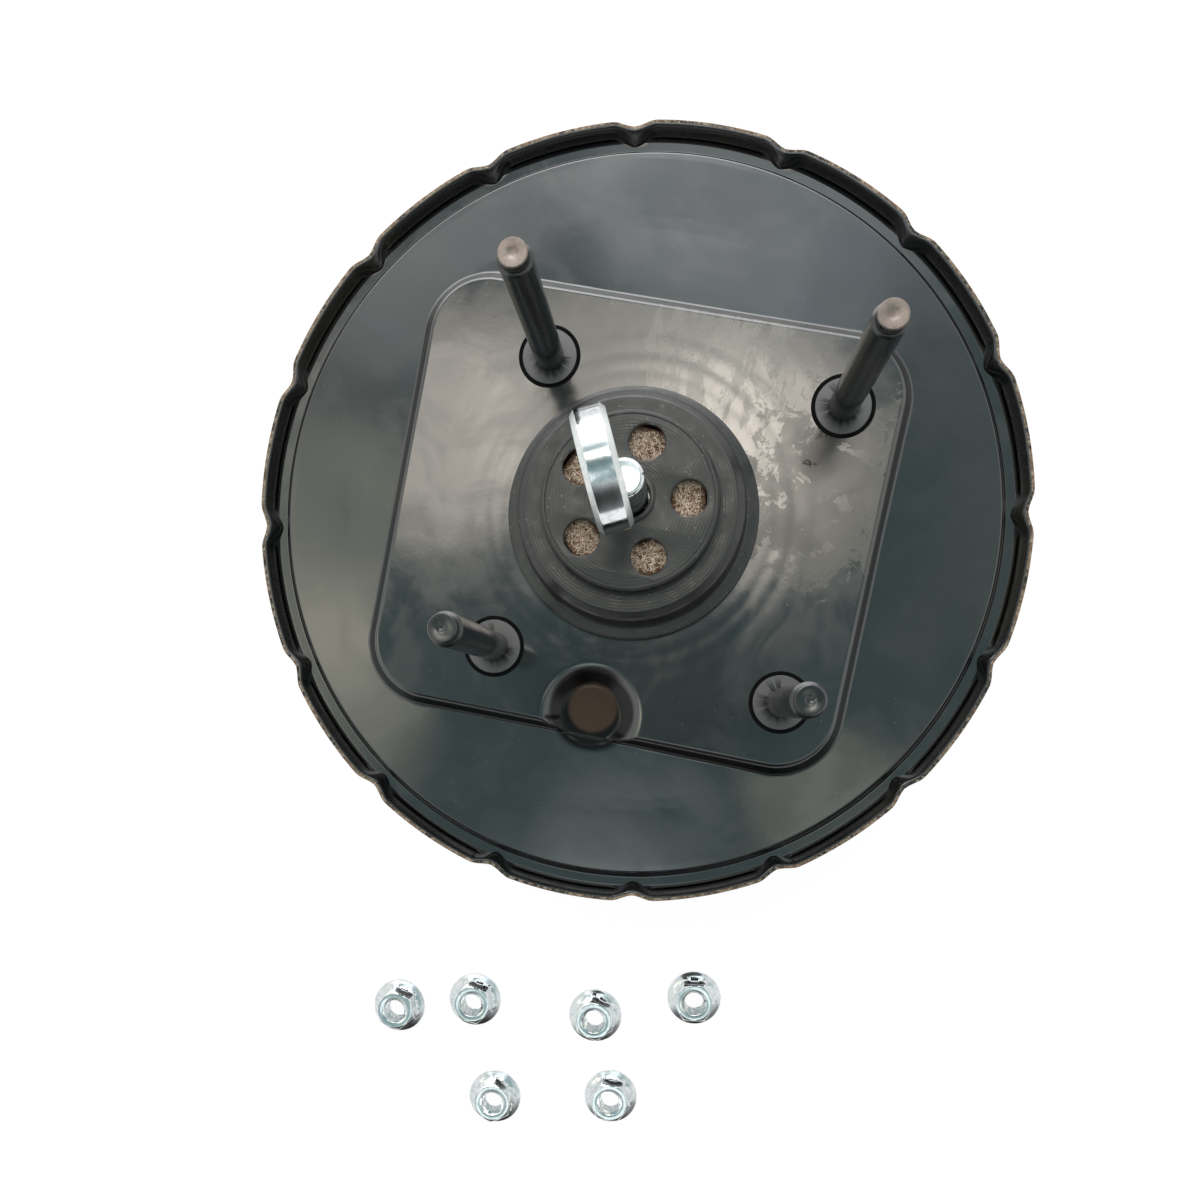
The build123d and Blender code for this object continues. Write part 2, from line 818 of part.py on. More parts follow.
# ---------------------------------------------------------------- poppet
with BuildPart() as poppet_valve:
    bellows_outer = bellows_radius + bellows_wall
    wave_middle = (poppet_face + poppet_thickness + poppet_bead_foot) / 2
    add(
        turned_section(
            (poppet_inner_radius, poppet_face),
            (poppet_outer_radius, poppet_face),
            (poppet_outer_radius, poppet_face + poppet_thickness),
            (bellows_outer, poppet_face + poppet_thickness),
            (bellows_outer + bellows_wave, wave_middle),
            (bellows_outer, poppet_bead_foot),
            (poppet_bore - seat_gap, poppet_bead_foot),
            (poppet_bore - seat_gap, poppet_bead_top),
            (bellows_radius, poppet_bead_top),
            (bellows_radius, poppet_bead_foot),
            (bellows_radius + bellows_wave, wave_middle),
            (bellows_radius, poppet_face + poppet_thickness),
            (poppet_inner_radius, poppet_face + poppet_thickness),
        )
    )
    revolve(axis=Axis.Z)
poppet_valve.part.label = "poppet_valve"
export_step(poppet_valve.part, "parts/poppet_valve.step")

with BuildPart() as poppet_spring:
    add(
        coil(
            poppet_wire,
            poppet_coil,
            poppet_coil,
            poppet_face + poppet_thickness + seat_gap,
            poppet_bead_foot - seat_gap,
            poppet_turns,
        )
    )
poppet_spring.part.label = "poppet_spring"
export_step(poppet_spring.part, "parts/poppet_spring.step")

with BuildPart() as poppet_retainer:
    add(
        turned_section(
            (poppet_retainer_bore, poppet_retainer_foot),
            (poppet_bore - press_gap, poppet_retainer_foot),
            (poppet_bore - press_gap, poppet_retainer_top),
            (poppet_retainer_bore, poppet_retainer_top),
        )
    )
    revolve(axis=Axis.Z)
poppet_retainer.part.label = "poppet_retainer"
export_step(poppet_retainer.part, "parts/poppet_retainer.step")

with BuildPart() as rod_return_spring:
    add(
        coil(
            rod_wire,
            rod_coil_foot,
            rod_coil_top,
            poppet_retainer_top + seat_gap,
            rod_spring_top,
            rod_turns,
        )
    )
rod_return_spring.part.label = "rod_return_spring"
export_step(rod_return_spring.part, "parts/rod_return_spring.step")

# ---------------------------------------------------------------- filters
with BuildPart() as filter_retainer:
    with BuildSketch(Plane.XY.offset(filter_ledge)):
        Circle(tail_bore - press_gap)
        Circle(foam_bore, mode=Mode.SUBTRACT)
    extrude(amount=filter_retainer_thickness)
filter_retainer.part.label = "filter_retainer"
export_step(filter_retainer.part, "parts/filter_retainer.step")

with BuildPart() as foam_silencer:
    with BuildSketch(Plane.XY.offset(foam_foot)):
        Circle(tail_bore - seat_gap)
        Circle(foam_bore, mode=Mode.SUBTRACT)
    extrude(amount=foam_top - foam_foot)
foam_silencer.part.label = "foam_silencer"
export_step(foam_silencer.part, "parts/foam_silencer.step")

with BuildPart() as felt_filter:
    with BuildSketch(Plane.XY.offset(felt_foot)):
        Circle(tail_bore - seat_gap)
        Circle(felt_bore, mode=Mode.SUBTRACT)
    extrude(amount=felt_top - felt_foot)
felt_filter.part.label = "felt_filter"
export_step(felt_filter.part, "parts/felt_filter.step")

# ---------------------------------------------------------------- output side
with BuildPart() as reaction_disc:
    with Locations((0, 0, reaction_disc_foot)):
        Cylinder(
            chamber_radius - seat_gap,
            reaction_disc_thickness,
            align=(Align.CENTER, Align.CENTER, Align.MIN),
        )
reaction_disc.part.label = "reaction_disc"
export_step(reaction_disc.part, "parts/reaction_disc.step")

with BuildPart() as output_rod:
    add(
        turned_section(
            (0, output_head_top),
            (chamber_radius - seat_gap, output_head_top),
            (chamber_radius - seat_gap, output_head_foot),
            (output_rod_radius, output_head_foot),
            (output_rod_radius, output_rod_foot),
            (output_bore, output_rod_foot),
            (output_bore, output_rod_foot + output_bore_depth),
            (0, output_rod_foot + output_bore_depth),
        )
    )
    revolve(axis=Axis.Z)
output_rod.part.label = "output_rod"
export_step(output_rod.part, "parts/output_rod.step")

with BuildPart() as adjusting_screw:
    with BuildSketch(Plane.XY.offset(screw_hex_foot)):
        RegularPolygon(screw_hex / 2, 6, major_radius=False)
    extrude(amount=screw_hex_top - screw_hex_foot)
    with Locations((0, 0, screw_hex_top)):
        Cylinder(
            output_bore - press_gap,
            output_rod_foot - screw_hex_top + output_bore_depth - seat_gap,
            align=(Align.CENTER, Align.CENTER, Align.MIN),
        )
    with Locations((0, 0, screw_hex_foot)):
        Sphere(screw_dome_radius, arc_size1=-90, arc_size2=0)
adjusting_screw.part.label = "adjusting_screw"
export_step(adjusting_screw.part, "parts/adjusting_screw.step")

with BuildPart() as output_rod_retainer:
    sleeve_bore = front_boss_radius + press_gap
    add(
        turned_section(
            (retainer_bore, retainer_foot),
            (sleeve_bore + retainer_sheet, retainer_foot),
            (sleeve_bore + retainer_sheet, retainer_sleeve_top),
            (sleeve_bore, retainer_sleeve_top),
            (sleeve_bore, front_boss_foot),
            (retainer_bore, front_boss_foot),
        )
    )
    revolve(axis=Axis.Z)
output_rod_retainer.part.label = "output_rod_retainer"
export_step(output_rod_retainer.part, "parts/output_rod_retainer.step")

with BuildPart() as return_spring:
    add(
        coil(
            main_wire,
            main_coil_front,
            main_coil_hub,
            front_plate_top + seat_gap,
            hub_foot - seat_gap,
            main_turns,
        )
    )
return_spring.part.label = "return_spring"
export_step(return_spring.part, "parts/return_spring.step")

# ---------------------------------------------------------------- diaphragm and plate
with BuildPart() as diaphragm_plate:
    add(
        sheet_section(
            (
                (tail_radius + seat_gap, hub_top + plate_sheet),
                (plate_cone_radius, hub_top + plate_sheet),
                (plate_rim_radius, plate_rim_height),
                (plate_rim_radius, plate_rim_foot),
            ),
            (plate_bend, plate_bend),
            plate_sheet,
        )
    )
    revolve(axis=Axis.Z)
diaphragm_plate.part.label = "diaphragm_plate"
export_step(diaphragm_plate.part, "parts/diaphragm_plate.step")

with BuildPart() as diaphragm:
    rim_gap = seat_gap + diaphragm_wall
    add(
        sheet_section(
            (
                (tail_radius + seat_gap, diaphragm_top),
                (plate_cone_radius, diaphragm_top),
                (plate_rim_radius + rim_gap, plate_rim_height + rim_gap),
                (plate_rim_radius + rim_gap, diaphragm_fold_foot),
                (diaphragm_fold_radius, diaphragm_fold_foot),
                (diaphragm_fold_radius, bead_top),
                (flange_radius, bead_top),
            ),
            (plate_bend, plate_bend, diaphragm_wall, diaphragm_wall, diaphragm_wall),
            diaphragm_wall,
        )
    )
    revolve(axis=Axis.Z)
    add(
        turned_section(
            (diaphragm_fold_radius, bead_foot),
            (flange_radius, bead_foot),
            (flange_radius, bead_top),
            (diaphragm_fold_radius, bead_top),
        )
    )
    revolve(axis=Axis.Z)
diaphragm.part.label = "diaphragm"
export_step(diaphragm.part, "parts/diaphragm.step")

# ---------------------------------------------------------------- dust boot
boot_bore = neck_radius + seat_gap
cap_bore_radius = tail_radius + seat_gap
boot_inside = boot_body_radius - boot_wall
shelf_foot = boot_shelf - boot_wall
with BuildPart() as dust_boot:
    add(
        turned_section(
            (boot_bore, seat_gap + neck_root_bend),
            (boot_bore + neck_root_bend, seat_gap),
            (boot_foot_radius, seat_gap),
            (boot_foot_radius, boot_foot_height),
            (boot_body_radius, boot_foot_height + boot_wall / 2),
            (boot_body_radius - boot_wave, (boot_foot_height + boot_shelf) / 2),
            (boot_body_radius, shelf_foot - boot_wall),
            (boot_shelf_radius, boot_shelf),
            (boot_cap_radius + boot_wall / 2, boot_shelf),
            (boot_cap_radius, boot_shelf + boot_wall),
            (boot_cap_radius, boot_top),
            (0, boot_top),
            (0, boot_cap_foot),
            (cap_bore_radius, boot_cap_foot),
            (cap_bore_radius, shelf_foot),
            (boot_shelf_radius - boot_wall, shelf_foot),
            (boot_inside, shelf_foot - 2 * boot_wall),
            (boot_inside - boot_wave, (boot_foot_height + boot_shelf) / 2),
            (boot_inside, boot_foot_height + boot_wall),
            (boot_bore, boot_foot_height),
        )
    )
    revolve(axis=Axis.Z)
    cap_rim = dust_boot.edges().filter_by(GeomType.CIRCLE).group_by(Axis.Z)[-1].sort_by(SortBy.RADIUS)
    fillet(cap_rim[-1], boot_wall / 2)
    lip_reach = (boot_top - ball_height) * tan(radians(rod_lean))
    with BuildSketch(Plane.XY.offset(boot_top)):
        with Locations(polar(lip_reach, eye_turn + 90)):
            Circle(boot_lip_radius)
    extrude(amount=boot_lip_height)
    with BuildSketch(Plane.XY.offset(boot_cap_foot)):
        with PolarLocations(breather_circle, breather_count, start_angle=breather_first_angle):
            Circle(breather_radius)
        with PolarLocations(0, 1, start_angle=breather_first_angle - 360 / breather_count):
            Rectangle(breather_circle, boot_slit, align=(Align.MIN, Align.CENTER))
    extrude(amount=boot_top + boot_lip_height - boot_cap_foot, mode=Mode.SUBTRACT)
    with Locations(rod_frame):
        Cylinder(rod_radius + seat_gap, through, mode=Mode.SUBTRACT)
dust_boot.part.label = "dust_boot"
export_step(dust_boot.part, "parts/dust_boot.step")

# ---------------------------------------------------------------- check valve
valve_plane = Plane(origin=(0, valve_y, 0), x_dir=(1, 0, 0), z_dir=(0, -1, 0))
valve_axis = Axis((0, valve_y, 0), (0, 0, 1))
grommet_outside = face_height - seat_gap
grommet_inside = face_inside + seat_gap
with BuildPart() as check_valve_grommet:
    add(
        turned_section(
            (grommet_bore, grommet_outside - grommet_rim_thickness),
            (grommet_rim, grommet_outside - grommet_rim_thickness),
            (grommet_rim, grommet_outside),
            (valve_hole - seat_gap, grommet_outside),
            (valve_hole - seat_gap, grommet_inside),
            (grommet_rim, grommet_inside),
            (valve_hole, grommet_inside + grommet_rim_thickness),
            (grommet_bore, grommet_inside + grommet_rim_thickness),
            plane=valve_plane,
        )
    )
    revolve(axis=valve_axis)
check_valve_grommet.part.label = "check_valve_grommet"
export_step(check_valve_grommet.part, "parts/check_valve_grommet.step")

shoulder_foot = grommet_outside - grommet_rim_thickness - seat_gap
nozzle_root = shoulder_foot - valve_flange_thickness
with BuildPart() as check_valve_body:
    add(
        turned_section(
            (valve_chamber, valve_head_top),
            (valve_flange_radius, valve_head_top),
            (valve_flange_radius, valve_head_foot),
            (valve_radius, valve_head_foot),
            (valve_radius, shoulder_foot),
            (valve_flange_radius, shoulder_foot),
            (valve_flange_radius, nozzle_root),
            (nozzle_radius, nozzle_root),
            (nozzle_radius, floor_height),
            (nozzle_bore, floor_height),
            (nozzle_bore, valve_chamber_foot),
            (valve_chamber, valve_chamber_foot),
            plane=valve_plane,
        )
    )
    for barb in range(barb_count):
        barb_foot = floor_height + barb * barb_pitch
        add(
            turned_section(
                (nozzle_bore, barb_foot),
                (nozzle_radius, barb_foot),
                (barb_radius, barb_foot + barb_rise),
                (barb_radius, barb_foot + barb_rise + barb_land),
                (nozzle_bore, barb_foot + barb_rise + barb_land),
                plane=valve_plane,
            )
        )
    revolve(axis=valve_axis)
check_valve_body.part.label = "check_valve_body"
export_step(check_valve_body.part, "parts/check_valve_body.step")

with BuildPart() as check_valve_cap:
    add(
        turned_section(
            (cap_bore, valve_head_top - cap_plug_depth),
            (valve_chamber - press_gap, valve_head_top - cap_plug_depth),
            (valve_chamber - press_gap, valve_head_top),
            (cap_flange_radius, valve_head_top),
            (cap_flange_radius, valve_head_top + cap_flange_thickness),
            (cap_bore, valve_head_top + cap_flange_thickness),
            plane=valve_plane,
        )
    )
    revolve(axis=valve_axis)
check_valve_cap.part.label = "check_valve_cap"
export_step(check_valve_cap.part, "parts/check_valve_cap.step")

with BuildPart() as check_valve_disc:
    with BuildSketch(Plane.XY.offset(disc_foot)):
        with Locations((0, valve_y)):
            Circle(disc_radius)
    extrude(amount=disc_thickness)
check_valve_disc.part.label = "check_valve_disc"
export_step(check_valve_disc.part, "parts/check_valve_disc.step")

with BuildPart() as check_valve_spring:
    with Locations((0, valve_y, 0)):
        add(
            coil(
                disc_wire,
                disc_coil,
                disc_coil,
                valve_chamber_foot + seat_gap,
                disc_foot - seat_gap,
                disc_turns,
            )
        )
check_valve_spring.part.label = "check_valve_spring"
export_step(check_valve_spring.part, "parts/check_valve_spring.step")

# ---------------------------------------------------------------- flange nuts
nut_corner = nut_flats / 2 / cos(radians(30))
with BuildPart() as flange_nut:
    add(
        turned_section(
            (0, 0),
            (nut_flange_radius, 0),
            (nut_flange_radius, nut_flange_edge),
            (nut_flats / 2, nut_flange_height),
            (0, nut_flange_height),
        )
    )
    revolve(axis=Axis.Z)
    with BuildSketch():
        RegularPolygon(nut_flats / 2, 6, major_radius=False)
    extrude(amount=nut_height)
    add(
        turned_section(
            (nut_flats / 2, nut_height),
            (nut_corner + nut_corner_drop, nut_height),
            (nut_corner + nut_corner_drop, nut_height - 2 * nut_corner_drop),
        )
    )
    revolve(axis=Axis.Z, mode=Mode.SUBTRACT)
    Cylinder(nut_bore, through, mode=Mode.SUBTRACT)
    bore_rims = flange_nut.edges().filter_by(GeomType.CIRCLE).filter_by(
        lambda rim: abs(rim.radius - nut_bore) < press_gap
    )
    chamfer(bore_rims, nut_chamfer)

with BuildPart() as flange_nuts:
    with Locations(*[Location((x, y, floor_height), (0, 0, turn)) for x, y, turn in nut_places]):
        add(flange_nut.part)
flange_nuts.part.label = "flange_nuts"
export_step(flange_nuts.part, "parts/flange_nuts.step")
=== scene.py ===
"""Vacuum brake booster lying on its master cylinder studs, with six loose flange nuts."""

import logging
import math
from dataclasses import dataclass, field
from enum import Enum
from typing import Callable, Sequence

import bmesh
import bpy
import numpy as np
from mathutils import Matrix, Vector

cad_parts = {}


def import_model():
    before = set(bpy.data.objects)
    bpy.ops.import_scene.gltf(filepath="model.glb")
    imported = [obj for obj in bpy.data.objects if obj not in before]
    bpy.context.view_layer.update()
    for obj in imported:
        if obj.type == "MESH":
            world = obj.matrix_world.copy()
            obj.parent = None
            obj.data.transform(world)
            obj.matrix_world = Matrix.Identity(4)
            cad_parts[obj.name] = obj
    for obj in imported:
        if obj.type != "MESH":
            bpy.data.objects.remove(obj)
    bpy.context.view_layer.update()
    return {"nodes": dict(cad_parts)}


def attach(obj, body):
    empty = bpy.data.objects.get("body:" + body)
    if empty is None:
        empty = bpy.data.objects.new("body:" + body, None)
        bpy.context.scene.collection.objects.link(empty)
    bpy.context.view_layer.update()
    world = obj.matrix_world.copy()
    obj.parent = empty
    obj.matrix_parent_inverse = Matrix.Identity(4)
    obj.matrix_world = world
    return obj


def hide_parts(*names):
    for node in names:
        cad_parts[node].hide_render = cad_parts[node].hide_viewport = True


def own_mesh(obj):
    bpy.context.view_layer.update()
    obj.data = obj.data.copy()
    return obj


LOG = logging.getLogger("booster")
MM = 0.001

Color = tuple[float, float, float, float]
Profile = list[tuple[float, float]]
Triple = tuple[float, float, float]
MATH = "ShaderNodeMath"
MIX = "ShaderNodeMix"
NOISE = "ShaderNodeTexNoise"
RANGE = "ShaderNodeMapRange"
BUMP = "ShaderNodeBump"
VECTOR_MATH = "ShaderNodeVectorMath"
SMOOTH = {"interpolation_type": "SMOOTHSTEP"}
BLEND = {"data_type": "RGBA"}
BEZIER_ROUND = 0.5523  # a handle's share of the radius where four Bezier points make a circle


# ---------------------------------------------------------------- small helpers
def srgb(code: str) -> Color:
    """Turn a hex colour into Blender's linear colour.

    Args:
        code: The colour as "#rrggbb".

    Returns:
        Red, green, blue and alpha.
    """
    parts = [int(code[start : start + 2], 16) / 255 for start in (1, 3, 5)]
    linear = [part / 12.92 if part <= 0.04045 else ((part + 0.055) / 1.055) ** 2.4 for part in parts]
    return (linear[0], linear[1], linear[2], 1.0)


def per_mm(size: float) -> float:
    """Texture scale of a pattern whose features are this many millimetres wide."""
    return 1 / (size * MM)


def add_node(
    tree: bpy.types.NodeTree,
    kind: str,
    inputs: Sequence[object] | dict[object, object] = (),
    out: int | str = 0,
    **settings: object,
) -> bpy.types.NodeSocket | None:
    """Add one node, set its options and fill or link its inputs.

    Args:
        tree: The tree that gets the node.
        kind: The node's type.
        inputs: Values or sockets, in order or by name or number. A list holds sockets that share an input.
        out: Name or number of the output to return.
        **settings: The node's own options.

    Returns:
        The chosen output, or None where the node has none.
    """
    node = tree.nodes.new(kind)
    for name, value in settings.items():
        setattr(node, name, value)
    for name, value in inputs.items() if isinstance(inputs, dict) else enumerate(inputs):
        if isinstance(value, (bpy.types.NodeSocket, list)):
            for source in value if isinstance(value, list) else [value]:
                tree.links.new(source, node.inputs[name])
        else:
            node.inputs[name].default_value = value
    return node.outputs[out] if len(node.outputs) else None


def rounded_line(points: Sequence[tuple[float, float]], bends: Sequence[float], steps: int = 6) -> Profile:
    """Round the inner corners of a line of points with arcs.

    Args:
        points: The line's corners, in millimetres.
        bends: One bend radius for each inner corner.
        steps: Segments in each arc.

    Returns:
        The rounded line's points.
    """
    line: Profile = [points[0]]
    for index, bend in enumerate(bends, start=1):
        corner = Vector(points[index])
        back = Vector(points[index - 1]) - corner
        ahead = Vector(points[index + 1]) - corner
        half = back.angle(ahead) / 2
        if bend <= 0 or half > 1.55:
            line.append(points[index])
            continue
        reach = min(bend / math.tan(half), back.length * 0.49, ahead.length * 0.49)
        radius = reach * math.tan(half)
        middle = corner + (back.normalized() + ahead.normalized()).normalized() * (radius / math.sin(half))
        start = corner + back.normalized() * reach - middle
        end = corner + ahead.normalized() * reach - middle
        for step in range(steps + 1):
            point = middle + start.slerp(end, step / steps).normalized() * radius
            line.append((point.x, point.y))
    line.append(points[-1])
    return line


def spread(line: Sequence[tuple[float, float]], pitch: float) -> Profile:
    """Divide the long runs of a line so that no run is longer than the pitch.

    Args:
        line: The line's points.
        pitch: The longest run allowed, in the line's unit.

    Returns:
        The divided line's points.
    """
    divided: Profile = [line[0]]
    for start, end in zip(line, line[1:]):
        count = max(1, math.ceil(math.dist(start, end) / pitch))
        for step in range(1, count + 1):
            share = step / count
            divided.append((start[0] + (end[0] - start[0]) * share, start[1] + (end[1] - start[1]) * share))
    return divided


def offset_line(line: Sequence[tuple[float, float]], amount: float) -> Profile:
    """Move a line sideways, to the right of its direction.

    Args:
        line: The line's points.
        amount: How far it moves.

    Returns:
        The moved line's points.
    """
    points = np.array(line)
    slope = np.gradient(points, axis=0)
    slope /= np.linalg.norm(slope, axis=1)[:, None]
    moved = points + amount * np.stack([slope[:, 1], -slope[:, 0]], axis=1)
    return [(float(x), float(y)) for x, y in moved]


def smooth_less(first: np.ndarray, second: np.ndarray, bend: float) -> np.ndarray:
    """Take the lower of two surfaces, with a rounded edge where they meet.

    Args:
        first: Heights of the first surface.
        second: Heights of the second surface.
        bend: The width of the rounding.

    Returns:
        The joined heights.
    """
    near = np.maximum(bend - np.abs(first - second), 0) / bend
    return np.minimum(first, second) - near * near * bend / 4


def smooth_more(first: np.ndarray, second: np.ndarray, bend: float) -> np.ndarray:
    """Take the higher of two surfaces, with a rounded edge where they meet (see smooth_less)."""
    return -smooth_less(-first, -second, bend)


def closed_grid(rings: np.ndarray, wrap: bool) -> list[tuple[int, int, int, int]]:
    """List the quads of a grid of rings that closes round each ring.

    Args:
        rings: Points as (ring, step, 3).
        wrap: Whether the last ring joins the first.

    Returns:
        The quads' vertex numbers.
    """
    count, around = rings.shape[:2]
    quads = []
    for ring in range(count if wrap else count - 1):
        after = (ring + 1) % count
        for step in range(around):
            beside = (step + 1) % around
            quads.append(
                (ring * around + step, ring * around + beside, after * around + beside, after * around + step)
            )
    return quads


def make_object(
    name: str, points: np.ndarray, faces: Sequence[Sequence[int]], *finishes: bpy.types.Material
) -> bpy.types.Object:
    """Make a smooth-shaded mesh object from points in millimetres.

    Args:
        name: The object's name.
        points: Points as (n, 3), in millimetres.
        faces: Vertex numbers of each face.
        *finishes: The materials of its slots.

    Returns:
        The new object, at the origin.
    """
    mesh = bpy.data.meshes.new(name)
    mesh.from_pydata((points.reshape(-1, 3) * MM).tolist(), [], faces)
    mesh.update()
    mesh.shade_smooth()
    for finish in finishes:
        mesh.materials.append(finish)
    thing = bpy.data.objects.new(name, mesh)
    bpy.context.scene.collection.objects.link(thing)
    return thing


def sharpen(thing: bpy.types.Object, angle: float = 32.0) -> bpy.types.Object:
    """Turn a mesh's faces outwards and mark its sharp edges.

    Args:
        thing: The mesh object.
        angle: Edges over this many degrees are sharp.

    Returns:
        The same object.
    """
    form = bmesh.new()
    form.from_mesh(thing.data)
    bmesh.ops.remove_doubles(form, verts=form.verts, dist=1e-7)
    bmesh.ops.recalc_face_normals(form, faces=form.faces)
    form.to_mesh(thing.data)
    form.free()
    thing.data.shade_smooth()
    thing.data.set_sharp_from_angle(angle=math.radians(angle))
    return thing


def turned(
    name: str,
    profile: Sequence[tuple[float, float]],
    around: int,
    finish: bpy.types.Material,
    angle: float = 32.0,
) -> bpy.types.Object:
    """Turn a closed or axis-to-axis profile about Z.

    Args:
        name: The object's name.
        profile: (radius, height) points in millimetres. Points on the axis become poles.
        around: Steps round the axis.
        finish: Its material.
        angle: Edges over this many degrees are sharp.

    Returns:
        The new object.
    """
    turn = np.linspace(0, 2 * math.pi, around, endpoint=False)
    radius = np.array([point[0] for point in profile])[:, None]
    height = np.array([point[1] for point in profile])[:, None]
    rings = np.stack([radius * np.cos(turn), radius * np.sin(turn), height + 0 * turn], axis=2)
    wrap = profile[0][0] > 0 and profile[-1][0] > 0
    thing = make_object(name, rings, closed_grid(rings, wrap), finish)
    return sharpen(thing, angle)


def join(name: str, *things: bpy.types.Object) -> bpy.types.Object:
    """Join mesh objects at the origin into one, keeping their materials.

    Args:
        name: The joined object's name.
        *things: The objects to join.

    Returns:
        The joined object.
    """
    with bpy.context.temp_override(
        active_object=things[0], selected_editable_objects=list(things), selected_objects=list(things)
    ):
        bpy.ops.object.join()
    things[0].name = name
    things[0].data.name = name
    return things[0]


def place(thing: bpy.types.Object, matrix: Matrix) -> bpy.types.Object:
    """Move a mesh, leaving its object at the origin.

    Args:
        thing: The mesh object.
        matrix: The move, in millimetres.

    Returns:
        The same object.
    """
    scaled = matrix.copy()
    scaled.translation *= MM
    thing.data.transform(scaled)
    thing.data.update()
    return thing


def drilled(
    thing: bpy.types.Object, holes: Sequence[Triple], foot: float, top: float
) -> bpy.types.Object:
    """Cut round holes along Z through a closed mesh.

    Args:
        thing: The mesh object to drill.
        holes: (x, y, radius) of each hole in millimetres.
        foot: Height below the sheet in millimetres.
        top: Height above it in millimetres.

    Returns:
        The same object with its holes.
    """
    for x, y, radius in holes:
        side = ((0, foot), (radius, foot), (radius, top), (0, top))
        drill = turned("drill", side, 64, thing.data.materials[0])
        place(drill, Matrix.Translation((x, y, 0)))
        cut = thing.modifiers.new("hole", "BOOLEAN")
        cut.object = drill
        cut.solver = "EXACT"
        graph = bpy.context.evaluated_depsgraph_get()
        mesh = bpy.data.meshes.new_from_object(thing.evaluated_get(graph), depsgraph=graph)
        thing.modifiers.remove(cut)
        thing.data = mesh
        bpy.data.objects.remove(drill)
    return thing


def grown(
    name: str, tree: bpy.types.NodeTree, base: bpy.types.Mesh, values: dict[str, object]
) -> bpy.types.Object:
    """Run a Geometry Nodes tree on a mesh and keep the result as a plain mesh.

    Args:
        name: The finished object's name.
        tree: The tree to run.
        base: The mesh that the tree starts from.
        values: The tree's inputs by name.

    Returns:
        An object with the plain result and no modifier.
    """
    seed = bpy.data.objects.new(name + "_base", base)
    bpy.context.scene.collection.objects.link(seed)
    modifier = seed.modifiers.new("grow", "NODES")
    modifier.node_group = tree
    for item in tree.interface.items_tree:
        if item.item_type == "SOCKET" and item.in_out == "INPUT" and item.name in values:
            modifier[item.identifier] = values[item.name]
    graph = bpy.context.evaluated_depsgraph_get()
    mesh = bpy.data.meshes.new_from_object(
        seed.evaluated_get(graph), preserve_all_data_layers=True, depsgraph=graph
    )
    mesh.name = name
    seed.modifiers.remove(modifier)
    bpy.data.objects.remove(seed)
    thing = bpy.data.objects.new(name, mesh)
    bpy.context.scene.collection.objects.link(thing)
    return thing


def new_tree(
    name: str, inputs: Sequence[tuple[str, str, object]]
) -> tuple[bpy.types.NodeTree, bpy.types.NodeOutputs]:
    """Start a Geometry Nodes tree with a geometry in and out and named inputs.

    Args:
        name: The tree's name.
        inputs: (name, socket type, default) of each further input.

    Returns:
        The tree and the sockets of its inputs.
    """
    tree = bpy.data.node_groups.new(name, "GeometryNodeTree")
    tree.interface.new_socket("Geometry", in_out="INPUT", socket_type="NodeSocketGeometry")
    tree.interface.new_socket("Geometry", in_out="OUTPUT", socket_type="NodeSocketGeometry")
    for label, kind, default in inputs:
        socket = tree.interface.new_socket(label, in_out="INPUT", socket_type=kind)
        if default is not None:
            socket.default_value = default
    return tree, tree.nodes.new("NodeGroupInput").outputs


def finish_tree(
    tree: bpy.types.NodeTree, geometry: bpy.types.NodeSocket, *finishes: tuple[bpy.types.NodeSocket, object]
) -> None:
    """End a tree: realize its instances, set its materials and pass it out.

    Args:
        tree: The tree to end.
        geometry: The geometry that leaves it.
        *finishes: Each material's socket with the faces that get it, True for all of them.
    """
    whole = add_node(tree, "GeometryNodeRealizeInstances", (geometry,))
    for finish, chosen in finishes:
        whole = add_node(
            tree, "GeometryNodeSetMaterial", {"Geometry": whole, "Selection": chosen, "Material": finish}
        )
    add_node(tree, "NodeGroupOutput", {"Geometry": whole})


# ---------------------------------------------------------------- finishes
@dataclass(frozen=True)
class Finish:
    """A surface finish, made into a material once."""

    name: str
    color: str
    metallic: float = 0.0

    def make(self) -> bpy.types.Material:
        """Build the material: its fixed values first, then what varies over the surface.

        Returns:
            The material.
        """
        material = bpy.data.materials.new(self.name)
        material.use_nodes = True
        tree = material.node_tree
        shader = tree.nodes["Principled BSDF"]
        shader.inputs["Metallic"].default_value = self.metallic
        for name, value in self.patterns(tree, add_node(tree, "ShaderNodeTexCoord", out="Object")).items():
            if isinstance(value, bpy.types.NodeSocket):
                tree.links.new(value, shader.inputs[name])
            else:
                shader.inputs[name].default_value = value
        return material

    def patterns(self, tree: bpy.types.NodeTree, spot: bpy.types.NodeSocket) -> dict[str, object]:
        """Give the shader's inputs; each finish has its own.

        Args:
            tree: The material's tree.
            spot: The Object coordinates' socket.

        Returns:
            Values or sockets by the name of the shader's input.
        """
        raise NotImplementedError


